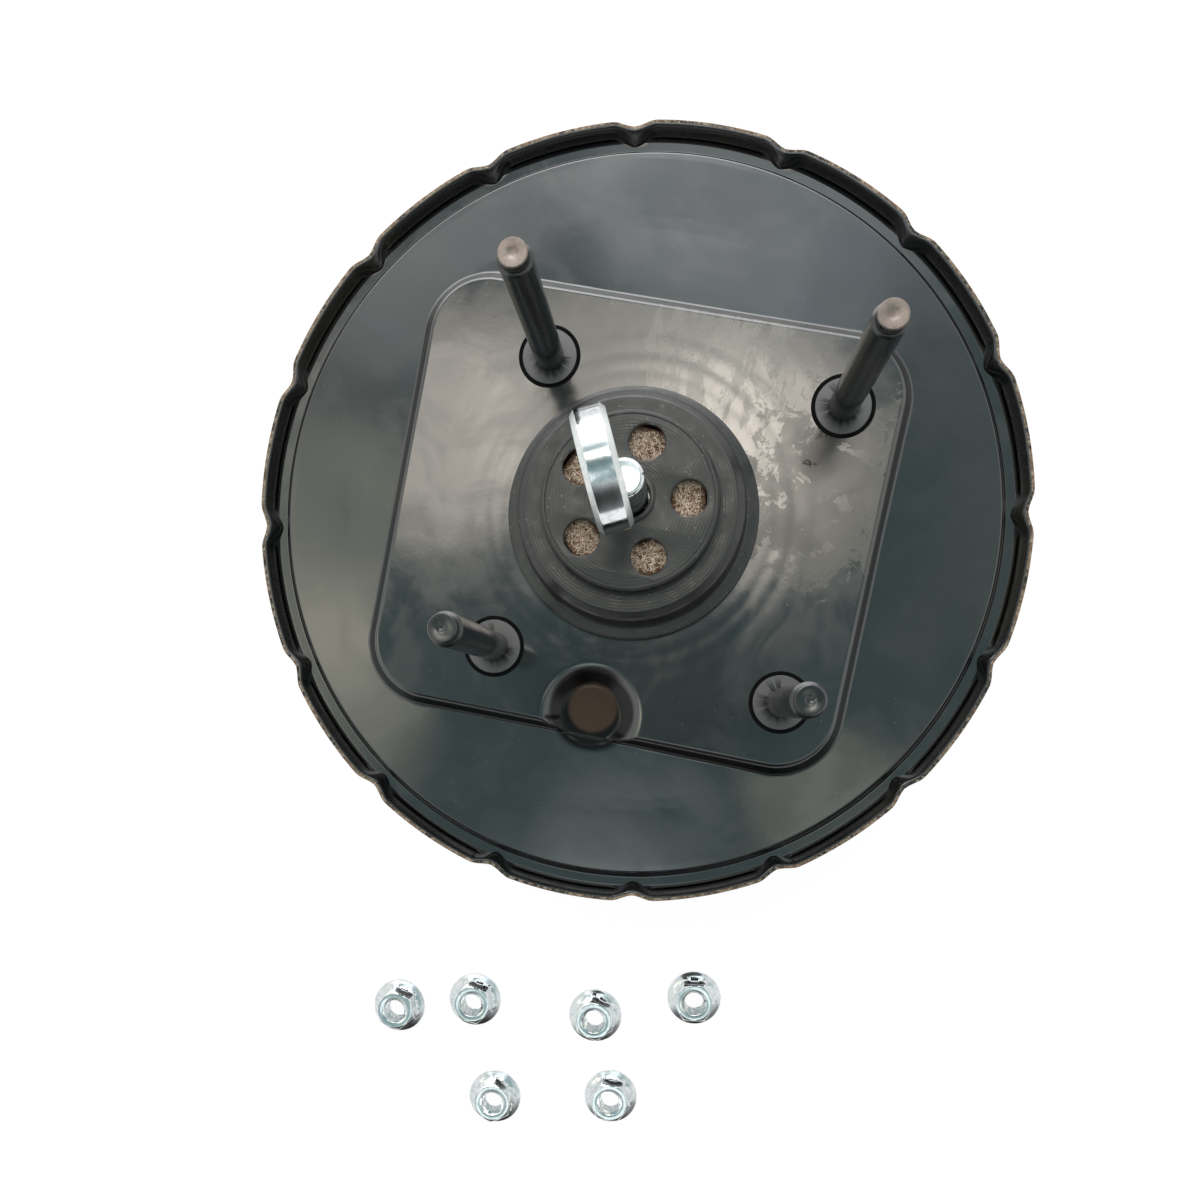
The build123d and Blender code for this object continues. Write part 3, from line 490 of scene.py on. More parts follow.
@dataclass(frozen=True)
class DipPaint(Finish):
    """Black electrocoat on pressed steel: a thin, hard, glossy film with smears and dust."""

    ior: float = 2.0
    rough_low: float = 0.12
    rough_high: float = 0.24
    stain: str = "#26221d"
    peel: float = 0.004

    def patterns(self, tree: bpy.types.NodeTree, spot: bpy.types.NodeSocket) -> dict[str, object]:
        """Give the film's colour, gloss and ripple.

        Args:
            tree: The material's tree.
            spot: The Object coordinates' socket.

        Returns:
            Values or sockets by the name of the shader's input.
        """
        smear = add_node(
            tree,
            NOISE,
            {"Vector": spot, "Scale": per_mm(24), "Detail": 5.0, "Roughness": 0.62, "Distortion": 1.4},
        )
        cloud = add_node(tree, NOISE, {"Vector": spot, "Scale": per_mm(60), "Detail": 2.0, "Distortion": 0.6})
        tinted = add_node(tree, RANGE, (cloud, 0.46, 0.66, 0.0, 0.6), **SMOOTH)
        color = add_node(tree, MIX, {0: tinted, 6: srgb(self.color), 7: srgb(self.stain)}, 2, **BLEND)
        grit = add_node(
            tree, "ShaderNodeTexVoronoi", {"Vector": spot, "Scale": per_mm(3.2), "Randomness": 1.0}
        )
        dust = add_node(tree, RANGE, (grit, 0.03, 0.07, 0.3, 0.0), **SMOOTH)
        color = add_node(tree, MIX, {0: dust, 6: color, 7: srgb("#8f8c84")}, 2, **BLEND)
        rough = add_node(
            tree, RANGE, (smear, 0.36, 0.66, self.rough_low, self.rough_high), **SMOOTH
        )
        swell = add_node(tree, NOISE, {"Vector": spot, "Scale": per_mm(16), "Detail": 2.0})
        ripple = add_node(tree, BUMP, {"Height": swell, "Distance": 0.05 * MM, "Strength": 1.0})
        skin = add_node(tree, NOISE, {"Vector": spot, "Scale": per_mm(1.1), "Detail": 2.0, "Roughness": 0.6})
        normal = add_node(
            tree,
            BUMP,
            {"Height": skin, "Distance": self.peel * MM, "Strength": 1.0, "Normal": ripple},
        )
        return {"IOR": self.ior, "Base Color": color, "Roughness": rough, "Normal": normal}


@dataclass(frozen=True)
class WornPaint(DipPaint):
    """The same electrocoat where the pad was handled: dry brown stains and rubbed streaks."""

    stain_middle: Triple = (0.050, 0.016, 0.0)
    stain_reach: tuple[float, float] = (0.012, 0.044)
    streak_middle: Triple = (0.014, 0.047, 0.0)
    streak_reach: tuple[float, float] = (0.010, 0.046)
    pocket_middle: Triple = (-0.0006, -0.0535, -0.002)
    pocket_reach: tuple[float, float] = (0.0112, 0.0132)

    def patterns(self, tree: bpy.types.NodeTree, spot: bpy.types.NodeSocket) -> dict[str, object]:
        """Give the paint with its stains, its streaks, and in its pocket brown grime on the floor and painted
        shade on the walls.

        Args:
            tree: The material's tree.
            spot: The Object coordinates' socket.

        Returns:
            Values or sockets by the name of the shader's input.
        """
        given = super().patterns(tree, spot)
        height = add_node(tree, "ShaderNodeSeparateXYZ", (spot,), "Z")
        on_pad = add_node(tree, RANGE, (height, -1.0 * MM, -0.2 * MM, 0.0, 1.0), **SMOOTH)

        away = add_node(tree, VECTOR_MATH, (spot, self.stain_middle), "Value", operation="DISTANCE")
        near = add_node(tree, RANGE, (away, *self.stain_reach, 0.15, -0.12), **SMOOTH)
        blot = add_node(
            tree,
            NOISE,
            {"Vector": spot, "Scale": per_mm(8), "Detail": 8.0, "Roughness": 0.78, "Distortion": 0.5},
        )
        level = add_node(tree, MATH, (blot, near), operation="ADD")
        inside = add_node(tree, RANGE, (level, 0.565, 0.585, 0.0, 1.0), **SMOOTH)
        gap = add_node(tree, MATH, (level, 0.575), operation="SUBTRACT")
        rim = add_node(tree, MATH, (gap,), operation="ABSOLUTE")
        rim = add_node(tree, RANGE, (rim, 0.003, 0.012, 0.34, 0.0), **SMOOTH)
        inside = add_node(tree, MATH, (inside, on_pad), operation="MULTIPLY")
        rim = add_node(tree, MATH, (rim, on_pad), operation="MULTIPLY")

        away = add_node(tree, VECTOR_MATH, (spot, self.streak_middle), "Value", operation="DISTANCE")
        near = add_node(tree, RANGE, (away, *self.streak_reach, 0.10, -0.12), **SMOOTH)
        drawn = add_node(
            tree,
            "ShaderNodeMapping",
            {"Vector": spot, "Rotation": (0.0, 0.0, math.radians(14)), "Scale": (1.0, 0.34, 1.0)},
        )
        rub = add_node(
            tree,
            NOISE,
            {"Vector": drawn, "Scale": per_mm(4.5), "Detail": 7.0, "Roughness": 0.76, "Distortion": 0.5},
        )
        rubbed = add_node(tree, MATH, (rub, near), operation="ADD")
        rubbed = add_node(tree, RANGE, (rubbed, 0.56, 0.64, 0.0, 0.75), **SMOOTH)
        rubbed = add_node(tree, MATH, (rubbed, on_pad), operation="MULTIPLY")

        color = add_node(
            tree, MIX, {0: rubbed, 6: given["Base Color"], 7: srgb("#55534c")}, 2, **BLEND
        )
        color = add_node(tree, MIX, {0: inside, 6: color, 7: srgb("#2a231c")}, 2, **BLEND)
        color = add_node(tree, MIX, {0: rim, 6: color, 7: srgb("#75685a")}, 2, **BLEND)
        dull = add_node(tree, MATH, (inside, rubbed), operation="MAXIMUM")
        dull = add_node(tree, MATH, (dull, 0.13, given["Roughness"]), operation="MULTIPLY_ADD")

        # The pocket: brown grime on its floor and near-black painted shade on its sloping walls, with the
        # shine turned down in both.
        away = add_node(tree, VECTOR_MATH, (spot, self.pocket_middle), "Value", operation="DISTANCE")
        near = add_node(tree, RANGE, (away, *self.pocket_reach, 1.0, 0.0), **SMOOTH)
        sunk = add_node(tree, RANGE, (height, -1.4 * MM, -0.4 * MM, 1.0, 0.0), **SMOOTH)
        pocket_grime_and_shade = add_node(tree, MATH, (near, sunk), operation="MULTIPLY")
        floor = add_node(tree, RANGE, (away, 6.2 * MM, 7.6 * MM, 0.75, 0.0), **SMOOTH)
        # The near-black is painted shade for the pocket's walls; the brown is the grime on its floor.
        grime_and_shade = add_node(tree, MIX, {0: floor, 6: srgb("#0d0b0a"), 7: srgb("#4d3c30")}, 2, **BLEND)
        color = add_node(tree, MIX, {0: pocket_grime_and_shade, 6: color, 7: grime_and_shade}, 2, **BLEND)
        shine = add_node(tree, RANGE, (pocket_grime_and_shade, 0.0, 1.0, 0.5, 0.12))
        return given | {"Base Color": color, "Roughness": dull, "Specular IOR Level": shine}


@dataclass(frozen=True)
class Metal(Finish):
    """Bare or plated steel with fine marks."""

    metallic: float = 1.0
    rough: float = 0.2
    rough_spread: float = 0.12
    mark_size: float = 3.0
    tint: str = "#8f9aa0"
    tint_share: float = 0.4
    dents: float = 0.01

    def patterns(self, tree: bpy.types.NodeTree, spot: bpy.types.NodeSocket) -> dict[str, object]:
        """Give the metal's colour, gloss and dents.

        Args:
            tree: The material's tree.
            spot: The Object coordinates' socket.

        Returns:
            Values or sockets by the name of the shader's input.
        """
        marks = add_node(
            tree,
            NOISE,
            {
                "Vector": spot,
                "Scale": per_mm(self.mark_size),
                "Detail": 5.0,
                "Roughness": 0.65,
                "Distortion": 0.5,
            },
        )
        share = add_node(tree, RANGE, (marks, 0.4, 0.68, 0.0, self.tint_share), **SMOOTH)
        color = add_node(tree, MIX, {0: share, 6: srgb(self.color), 7: srgb(self.tint)}, 2, **BLEND)
        rough = add_node(
            tree,
            RANGE,
            (marks, 0.3, 0.7, self.rough, self.rough + self.rough_spread),
            **SMOOTH,
        )
        pits = add_node(
            tree,
            NOISE,
            {"Vector": spot, "Scale": per_mm(self.mark_size / 3), "Detail": 3.0, "Roughness": 0.6},
        )
        normal = add_node(tree, BUMP, {"Height": pits, "Distance": self.dents * MM, "Strength": 1.0})
        return {"Base Color": color, "Roughness": rough, "Normal": normal}


@dataclass(frozen=True)
class CutEdge(Finish):
    """Sheared steel edge: speckled brown rust and thin paint over bare metal."""

    metallic: float = 0.3
    rust: str = "#7a5c42"
    paint: str = "#1a1613"

    def patterns(self, tree: bpy.types.NodeTree, spot: bpy.types.NodeSocket) -> dict[str, object]:
        """Give the edge's speckled colour and tearing.

        Args:
            tree: The material's tree.
            spot: The Object coordinates' socket.

        Returns:
            Values or sockets by the name of the shader's input.
        """
        speck = add_node(
            tree, NOISE, {"Vector": spot, "Scale": per_mm(0.9), "Detail": 4.0, "Roughness": 0.75}
        )
        stretch = add_node(tree, NOISE, {"Vector": spot, "Scale": per_mm(7), "Detail": 3.0, "Roughness": 0.6})
        share = add_node(tree, RANGE, (speck, 0.42, 0.58, 0.0, 1.0), **SMOOTH)
        rusty = add_node(tree, MIX, {0: share, 6: srgb(self.color), 7: srgb(self.rust)}, 2, **BLEND)
        long = add_node(tree, RANGE, (stretch, 0.42, 0.6, 0.25, 1.0), **SMOOTH)
        short = add_node(tree, RANGE, (speck, 0.34, 0.54, 0.0, 1.0), **SMOOTH)
        painted = add_node(tree, MATH, (long, short), operation="MULTIPLY")
        color = add_node(tree, MIX, {0: painted, 6: rusty, 7: srgb(self.paint)}, 2, **BLEND)
        normal = add_node(tree, BUMP, {"Height": speck, "Distance": 0.06 * MM, "Strength": 1.0})
        return {"Base Color": color, "Roughness": 0.5, "Normal": normal}


@dataclass(frozen=True)
class Moulded(Finish):
    """Moulded rubber or plastic with a fine skin, and turned rings where it has a centre."""

    rough: float = 0.55
    grain: float = 0.5
    grain_depth: float = 0.02
    bloom: str = "#3c3d3a"
    bloom_share: float = 0.3
    rings: float = 0.0
    specks: float = 0.0
    ior: float = 1.5

    def patterns(self, tree: bpy.types.NodeTree, spot: bpy.types.NodeSocket) -> dict[str, object]:
        """Give the moulding's colour, gloss, grain and rings.

        Args:
            tree: The material's tree.
            spot: The Object coordinates' socket.

        Returns:
            Values or sockets by the name of the shader's input.
        """
        cloud = add_node(
            tree,
            NOISE,
            {"Vector": spot, "Scale": per_mm(9), "Detail": 4.0, "Roughness": 0.6, "Distortion": 0.5},
        )
        share = add_node(tree, RANGE, (cloud, 0.38, 0.7, 0.0, self.bloom_share), **SMOOTH)
        color = add_node(tree, MIX, {0: share, 6: srgb(self.color), 7: srgb(self.bloom)}, 2, **BLEND)
        if self.specks > 0:
            grit = add_node(tree, "ShaderNodeTexVoronoi", {"Vector": spot, "Scale": per_mm(2.6)})
            dust = add_node(tree, RANGE, (grit, 0.07, 0.12, self.specks, 0.0), **SMOOTH)
            color = add_node(tree, MIX, {0: dust, 6: color, 7: srgb("#c9c6bf")}, 2, **BLEND)
        patch = add_node(tree, NOISE, {"Vector": spot, "Scale": per_mm(4), "Detail": 3.0, "Roughness": 0.6})
        rough = add_node(
            tree, RANGE, (patch, 0.3, 0.7, self.rough - 0.08, self.rough + 0.1), **SMOOTH
        )
        skin = add_node(
            tree, NOISE, {"Vector": spot, "Scale": per_mm(self.grain), "Detail": 3.0, "Roughness": 0.7}
        )
        normal = add_node(
            tree, BUMP, {"Height": skin, "Distance": self.grain_depth * MM, "Strength": 1.0}
        )
        if self.rings > 0:
            flat = add_node(tree, VECTOR_MATH, (spot, (1.0, 1.0, 0.0)), operation="MULTIPLY")
            radius = add_node(tree, VECTOR_MATH, (flat,), "Value", operation="LENGTH")
            phase = add_node(tree, MATH, (radius, 2 * math.pi / (self.rings * MM)), operation="MULTIPLY")
            wave = add_node(tree, MATH, (phase,), operation="SINE")
            normal = add_node(
                tree, BUMP, {"Height": wave, "Distance": 0.008 * MM, "Strength": 1.0, "Normal": normal}
            )
        return {"IOR": self.ior, "Base Color": color, "Roughness": rough, "Normal": normal}


@dataclass(frozen=True)
class Felt(Finish):
    """Pressed fibre, lighter and darker from strand to strand."""

    light: str = "#ffe9d2"
    dark: str = "#6b4a36"

    def patterns(self, tree: bpy.types.NodeTree, spot: bpy.types.NodeSocket) -> dict[str, object]:
        """Give the felt's strands their shades.

        Args:
            tree: The material's tree.
            spot: The Object coordinates' socket.

        Returns:
            Values or sockets by the name of the shader's input.
        """
        shade = add_node(tree, "ShaderNodeAttribute", (), "Fac", attribute_name="shade")
        share = add_node(tree, RANGE, (shade, 0.15, 0.85, 0.0, 1.0), **SMOOTH)
        color = add_node(tree, MIX, {0: share, 6: srgb(self.dark), 7: srgb(self.light)}, 2, **BLEND)
        tuft = add_node(tree, NOISE, {"Vector": spot, "Scale": per_mm(1.4), "Detail": 3.0, "Roughness": 0.7})
        patch = add_node(tree, RANGE, (tuft, 0.42, 0.6, 0.0, 0.25), **SMOOTH)
        color = add_node(tree, MIX, {0: patch, 6: color, 7: srgb(self.color)}, 2, **BLEND)
        fluff = add_node(
            tree, NOISE, {"Vector": spot, "Scale": per_mm(0.35), "Detail": 3.0, "Roughness": 0.7}
        )
        normal = add_node(tree, BUMP, {"Height": fluff, "Distance": 0.08 * MM, "Strength": 1.0})
        return {"Base Color": color, "Roughness": 0.9, "Normal": normal}


class Kind(Enum):
    """The booster's finishes, named for the material and how its surface was made."""

    # Electrocoat dries to a hard black gloss that mirrors the room and shows every smear.
    PAD_PAINT = WornPaint("electrocoat_on_drawn_steel_shell", "#0b0c0c", rough_low=0.09, rough_high=0.18)
    # The film on the studs' pressed-in collars, where it pooled smooth.
    SEAT_PAINT = DipPaint("electrocoat_on_stud_collar", "#0c0c0c", rough_low=0.5, rough_high=0.6, ior=2.2)
    # The gap round each collar, matt near-black with no shine: painted shadow for the shade in the gap.
    SHADOW_GAP = Moulded("painted_shadow_gap_in_steel", "#060606", rough=0.8, ior=1.2, bloom="#0b0b0b")
    # The same film on the rolled collar, a little duller where the crimping tools worked it.
    COLLAR_PAINT = DipPaint("electrocoat_on_crimped_collar", "#0a0b0b", rough_low=0.16, rough_high=0.32)
    # Dipped rolled-thread studs: glossy black with bright lines along the threads.
    STUD_PAINT = DipPaint("electrocoat_on_rolled_stud", "#0a0a0a", ior=1.8, rough_low=0.14, rough_high=0.24)
    # Steel sheared after pressing, brown-speckled where the film pulled back and it rusted.
    CUT_EDGE = CutEdge("sheared_steel_edge_rusting", "#a3917c")
    # Steel turned bare at the studs' tips: warm grey with fine lines.
    BARE_TIP = Metal("turned_steel_tip", "#8d827b", rough=0.42, tint="#6a605a", mark_size=1.2)
    # Steel with bright zinc plating: nearly a mirror, faintly blue.
    ZINC = Metal(
        "zinc_plated_forged_steel", "#e9ebec", rough=0.09, rough_spread=0.08, mark_size=2.5, dents=0.004
    )
    # The plating on the eye's chamfers, forged rougher and so paler.
    ZINC_EDGE = Metal(
        "zinc_plated_chamfer", "#eef1ef", rough=0.38, rough_spread=0.1, mark_size=2.0, tint="#c9d2cf"
    )
    # The same plating over cold-headed nuts: sharp flats, hard light and dark.
    NUT_ZINC = Metal(
        "zinc_plated_cold_headed_nut",
        "#eceeee",
        rough=0.07,
        rough_spread=0.08,
        mark_size=1.8,
        tint="#a9b4b8",
        dents=0.002,
    )
    # Plain rolled sheet, stamped: soft grey sheen.
    SHEET = Metal("stamped_steel_sheet", "#9a9a98", rough=0.34, mark_size=6.0)
    # Drawn spring wire, oiled: dark grey with long highlights.
    WIRE = Metal("drawn_spring_wire", "#6d6e70", rough=0.3, mark_size=1.5)
    # Moulded EPDM rubber: grey-black and satin, with fine rings from its turned mould.
    BOOT = Moulded(
        "moulded_epdm_rubber", "#242523", rough=0.34, rings=0.8, specks=0.16, bloom="#3b3c37", ior=1.62
    )
    # Moulded nitrile rubber: dull black.
    SEAL = Moulded("moulded_nitrile_rubber", "#121212", rough=0.6)
    # Glass-filled nylon: satin black with a fine grain.
    BLACK_PLASTIC = Moulded("moulded_glass_filled_nylon", "#151515", rough=0.42, grain=0.3, grain_depth=0.01)
    # Natural acetal: warm white and waxy.
    PALE_PLASTIC = Moulded("moulded_acetal", "#cfc9bd", rough=0.45, bloom="#b3ab9c")
    # Open-cell polyurethane foam: matt and pitted.
    FOAM = Moulded("open_cell_polyurethane_foam", "#1b1b1a", rough=0.85, grain=0.6, grain_depth=0.25)
    # Wool and hair pressed to felt: matt tan, each fibre its own shade. Fibres are drawn coarser to show.
    FELT = Felt("pressed_wool_felt", "#a98c73")

    @property
    def material(self) -> bpy.types.Material:
        """This finish's material, built when it is first asked for."""
        made = bpy.data.materials.get(self.value.name)
        return made if made is not None else self.value.make()


# ---------------------------------------------------------------- shells
@dataclass
class RearShell:
    """The pedal-side pressing: pad, dish, shoulder and flange."""

    around: int = 600
    sheet: float = 1.2
    neck_radius: float = 25.6
    neck_wall: float = 1.4
    neck_top: float = 10.2
    neck_bend: float = 1.6
    pad_length: float = 130.0
    pad_width: float = 116.5
    pad_shift: float = -1.6
    pad_corner: float = 16.0
    pad_slope: float = 1 / math.tan(math.radians(25))
    dish_height: float = -3.0
    dish_radius: float = 58.0
    shoulder_radius: float = 98.9
    shoulder_slope: float = 2.2
    shoulder_height: float = -5.8
    flange_height: float = -9.3
    flange_radius: float = 104.1
    beads: tuple[Triple, ...] = ((36.6, 5.4, 0.018), (41.0, 5.8, 0.03), (46.2, 7.0, 0.02))
    pocket: tuple[float, float] = (-0.6, -55.5)
    pocket_radius: float = 13.4
    pocket_floor_radius: float = 8.4
    pocket_floor: float = -3.4
    slope_step: float = 0.02
    warps: tuple[tuple[int, float, float], ...] = (
        (4, 0.22, 45.0),
        (7, 0.11, 12.0),
        (11, 0.08, 70.0),
        (17, 0.05, 5.0),
    )

    def pad_distance(self, x: np.ndarray, y: np.ndarray) -> np.ndarray:
        """Distance outwards from the pad's outline.

        Args:
            x: Places along X in millimetres.
            y: Places along Y in millimetres.

        Returns:
            The distances, below zero on the pad.
        """
        past_x = np.abs(x) - self.pad_length / 2 + self.pad_corner
        past_y = np.abs(y - self.pad_shift) - self.pad_width / 2 + self.pad_corner
        outside = np.hypot(np.maximum(past_x, 0), np.maximum(past_y, 0))
        return outside + np.minimum(np.maximum(past_x, past_y), 0) - self.pad_corner

    def height(self, x: np.ndarray, y: np.ndarray) -> np.ndarray:
        """Height of the pressing's upper surface.

        Args:
            x: Places along X in millimetres.
            y: Places along Y in millimetres.

        Returns:
            The heights.
        """
        radius = np.hypot(x, y)
        top = 0.0 * radius
        for middle, width, rise in self.beads:
            near = np.clip(np.abs(radius - middle) / (width / 2), 0, 1)
            top = top + rise * np.cos(near * math.pi / 2) ** 2
        away = self.pad_distance(x, y)
        pad = smooth_less(top, -away * self.pad_slope, 2.6)
        fall = (self.shoulder_height - self.dish_height) / (self.shoulder_radius - self.dish_radius)
        cone = self.dish_height + fall * (radius - self.dish_radius)
        dish = smooth_less(cone, np.full_like(radius, self.dish_height), 0.5)
        swell = np.clip((radius - 58) / 20, 0, 1) * np.clip((97 - radius) / 16, 0, 1)
        turn = np.arctan2(y, x)
        for waves, amount, start in self.warps:
            dish = dish + amount * swell * np.cos(waves * (turn - math.radians(start)))
        form = smooth_more(pad, dish, 1.6)
        from_pocket = np.hypot(x - self.pocket[0], y - self.pocket[1])
        slope = -self.pocket_floor / (self.pocket_radius - self.pocket_floor_radius)
        bowl = self.pocket_floor + slope * (from_pocket - self.pocket_floor_radius)
        bowl = smooth_more(bowl, np.full_like(radius, self.pocket_floor), 0.8)
        form = smooth_less(form, bowl, 0.9)
        ramp_down = self.shoulder_height - (radius - self.shoulder_radius) * self.shoulder_slope
        form = smooth_less(form, ramp_down, 1.0)
        return smooth_more(form, np.full_like(radius, self.flange_height), 0.6)

    def build(self) -> bpy.types.Object:
        """Make the pressing as one closed skin.

        Returns:
            The shell's object.
        """
        turn = np.linspace(0, 2 * math.pi, self.around, endpoint=False)
        edge = np.full(self.around, 60.0)
        for _ in range(24):
            edge -= self.pad_distance(edge * np.cos(turn), edge * np.sin(turn))
        inner = self.neck_radius + self.neck_bend
        radii = [np.full(self.around, value) for value in np.arange(inner, 46.2, 0.62)]
        radii += [radii[-1] + (edge - 3 - radii[-1]) * share for share in np.linspace(0, 1, 14)[1:]]
        radii += [edge + away for away in np.arange(-2.7, 3.5, 0.3)]
        radii += [radii[-1] + (95.6 - radii[-1]) * share for share in np.linspace(0, 1, 32)[1:]]
        radii += [np.full(self.around, value) for value in np.arange(95.9, 103.0, 0.22)]
        radii.append(np.full(self.around, self.flange_radius))
        top = np.array(radii)
        x, y = top * np.cos(turn), top * np.sin(turn)
        rings = [np.stack([x, y, self.height(x, y)], axis=2)]
        step = self.slope_step
        slope_x = (self.height(x + step, y) - self.height(x - step, y)) / (2 * step)
        slope_y = (self.height(x, y + step) - self.height(x, y - step)) / (2 * step)
        normals = np.stack([-slope_x, -slope_y, np.ones_like(x)], axis=2)
        normals /= np.linalg.norm(normals, axis=2)[:, :, None]
        under = [(self.flange_radius, self.flange_height - self.sheet)]
        under += [(100.9, self.flange_height - self.sheet), (97.6, -7.4), (60.0, -5.0), (45.0, -4.7)]
        bore = self.neck_radius - self.neck_wall
        under += [(bore, -4.7), (bore, self.neck_top)]
        under += [(self.neck_radius, self.neck_top), (self.neck_radius, self.neck_bend)]
        root = [math.radians(step * 18) for step in range(1, 5)]
        for angle in root:
            radius = inner - self.neck_bend * math.cos(angle)
            under.append((radius, self.neck_bend - self.neck_bend * math.sin(angle)))
        for radius, level in under:
            circle = np.stack([radius * np.cos(turn), radius * np.sin(turn), 0 * turn + level], axis=1)
            rings.append(circle[None])
        points = np.concatenate(rings)
        shell = make_object("rear_shell_skin", points, closed_grid(points, True), Kind.PAD_PAINT.material)
        shell.data.flip_normals()
        shell.data.set_sharp_from_angle(angle=math.radians(40))
        custom = np.zeros((points.shape[0], self.around, 3))
        custom[: top.shape[0] - 1] = normals[:-1]
        shell.data.normals_split_custom_set_from_vertices(custom.reshape(-1, 3).tolist())
        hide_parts("rear_shell")
        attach(shell, "housing")
        return shell


@dataclass
class FrontShell:
    """The engine-side pressing: deep bowl, ledge and the collar crimped over the rear shell."""

    steps_per_crimp: int = 36
    crimps: int = 16
    first: float = 11.25
    sheet: float = 1.4
    edge_radius: float = 107.0
    edge_height: float = -5.0
    wall_radius: float = 105.8
    flange_height: float = -9.3
    depth_top: float = 1.7
    depth_foot: float = 2.6
    half_width: float = 5.2
    tip_half: float = 0.8
    drill_foot: float = -70.0
    drill_top: float = -50.0
    holes: tuple[Triple, ...] = ((0.0, -70.0, 9.5), (42.0, 0.0, 5.1), (-42.0, 0.0, 5.1))

    def dent(self, turn: np.ndarray) -> np.ndarray:
        """Share of the full dent at each angle.

        Args:
            turn: Angles about the hub in radians.

        Returns:
            Shares from 0 between crimps to 1 at a crimp's tip.
        """
        pitch = 2 * math.pi / self.crimps
        off = (turn - math.radians(self.first) + pitch / 2) % pitch - pitch / 2
        reach = np.abs(off) * self.edge_radius
        fall = 1 - (reach - self.tip_half) / (self.half_width - self.tip_half)
        low = smooth_less(fall, np.ones_like(fall), 0.35)
        return np.clip(smooth_more(low, np.zeros_like(fall), 0.3), 0, 1)

    def build(self) -> bpy.types.Object:
        """Make the pressing as one closed skin with a bare cut edge.

        Returns:
            The shell's object.
        """
        line = rounded_line(
            (
                (self.wall_radius, self.flange_height - 0.02),
                (self.wall_radius, -18.2),
                (100.5, -18.2),
                (97.0, -47.0),
                (88.0, -58.5),
                (54.0, -58.5),
                (50.0, -62.0),
                (20.0, -62.0),
            ),
            (2.4, 2.4, 8.0, 8.0, 3.0, 3.0),
        )
        outer = spread(line, 4.0)
        inner = offset_line(outer, self.sheet)
        levels = np.linspace(self.flange_height, self.edge_height, 9)
        lean = (self.edge_radius - self.wall_radius) / (self.edge_height - self.flange_height)
        outside = [(self.wall_radius + (level - self.flange_height) * lean, level) for level in levels]
        lip = [
            (self.edge_radius - 0.22, self.edge_height),
            (self.edge_radius - 0.85, self.edge_height),
            (self.edge_radius - self.sheet + 0.22, self.edge_height),
        ]
        outside[-1] = (self.edge_radius, self.edge_height - 0.22)
        inside = [(radius - self.sheet, level) for radius, level in outside[::-1]]
        loop = outer[::-1] + outside + lip + inside + inner
        turn = np.linspace(0, 2 * math.pi, self.crimps * self.steps_per_crimp, endpoint=False)
        share = self.dent(turn)
        rings = []
        for radius, level in loop:
            depth = 0.0
            if level >= self.flange_height - 0.001:
                along = (level - self.flange_height) / (self.edge_height - self.flange_height)
                depth = self.depth_foot + (self.depth_top - self.depth_foot) * along
            reach = radius - depth * share
            rings.append(np.stack([reach * np.cos(turn), reach * np.sin(turn), 0 * turn + level], axis=1))
        points = np.array(rings)
        shell = make_object(
            "front_shell_skin",
            points,
            closed_grid(points, True),
            Kind.COLLAR_PAINT.material,
            Kind.CUT_EDGE.material,
        )
        first = len(outer) + len(outside) - 1
        around = len(turn)
        for face in shell.data.polygons:
            ring = face.index // around
            face.material_index = 1 if first <= ring <= first + 1 else 0
        drilled(sharpen(shell, 35), self.holes, self.drill_foot, self.drill_top)
        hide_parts("front_shell")
        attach(shell, "housing")
        return shell


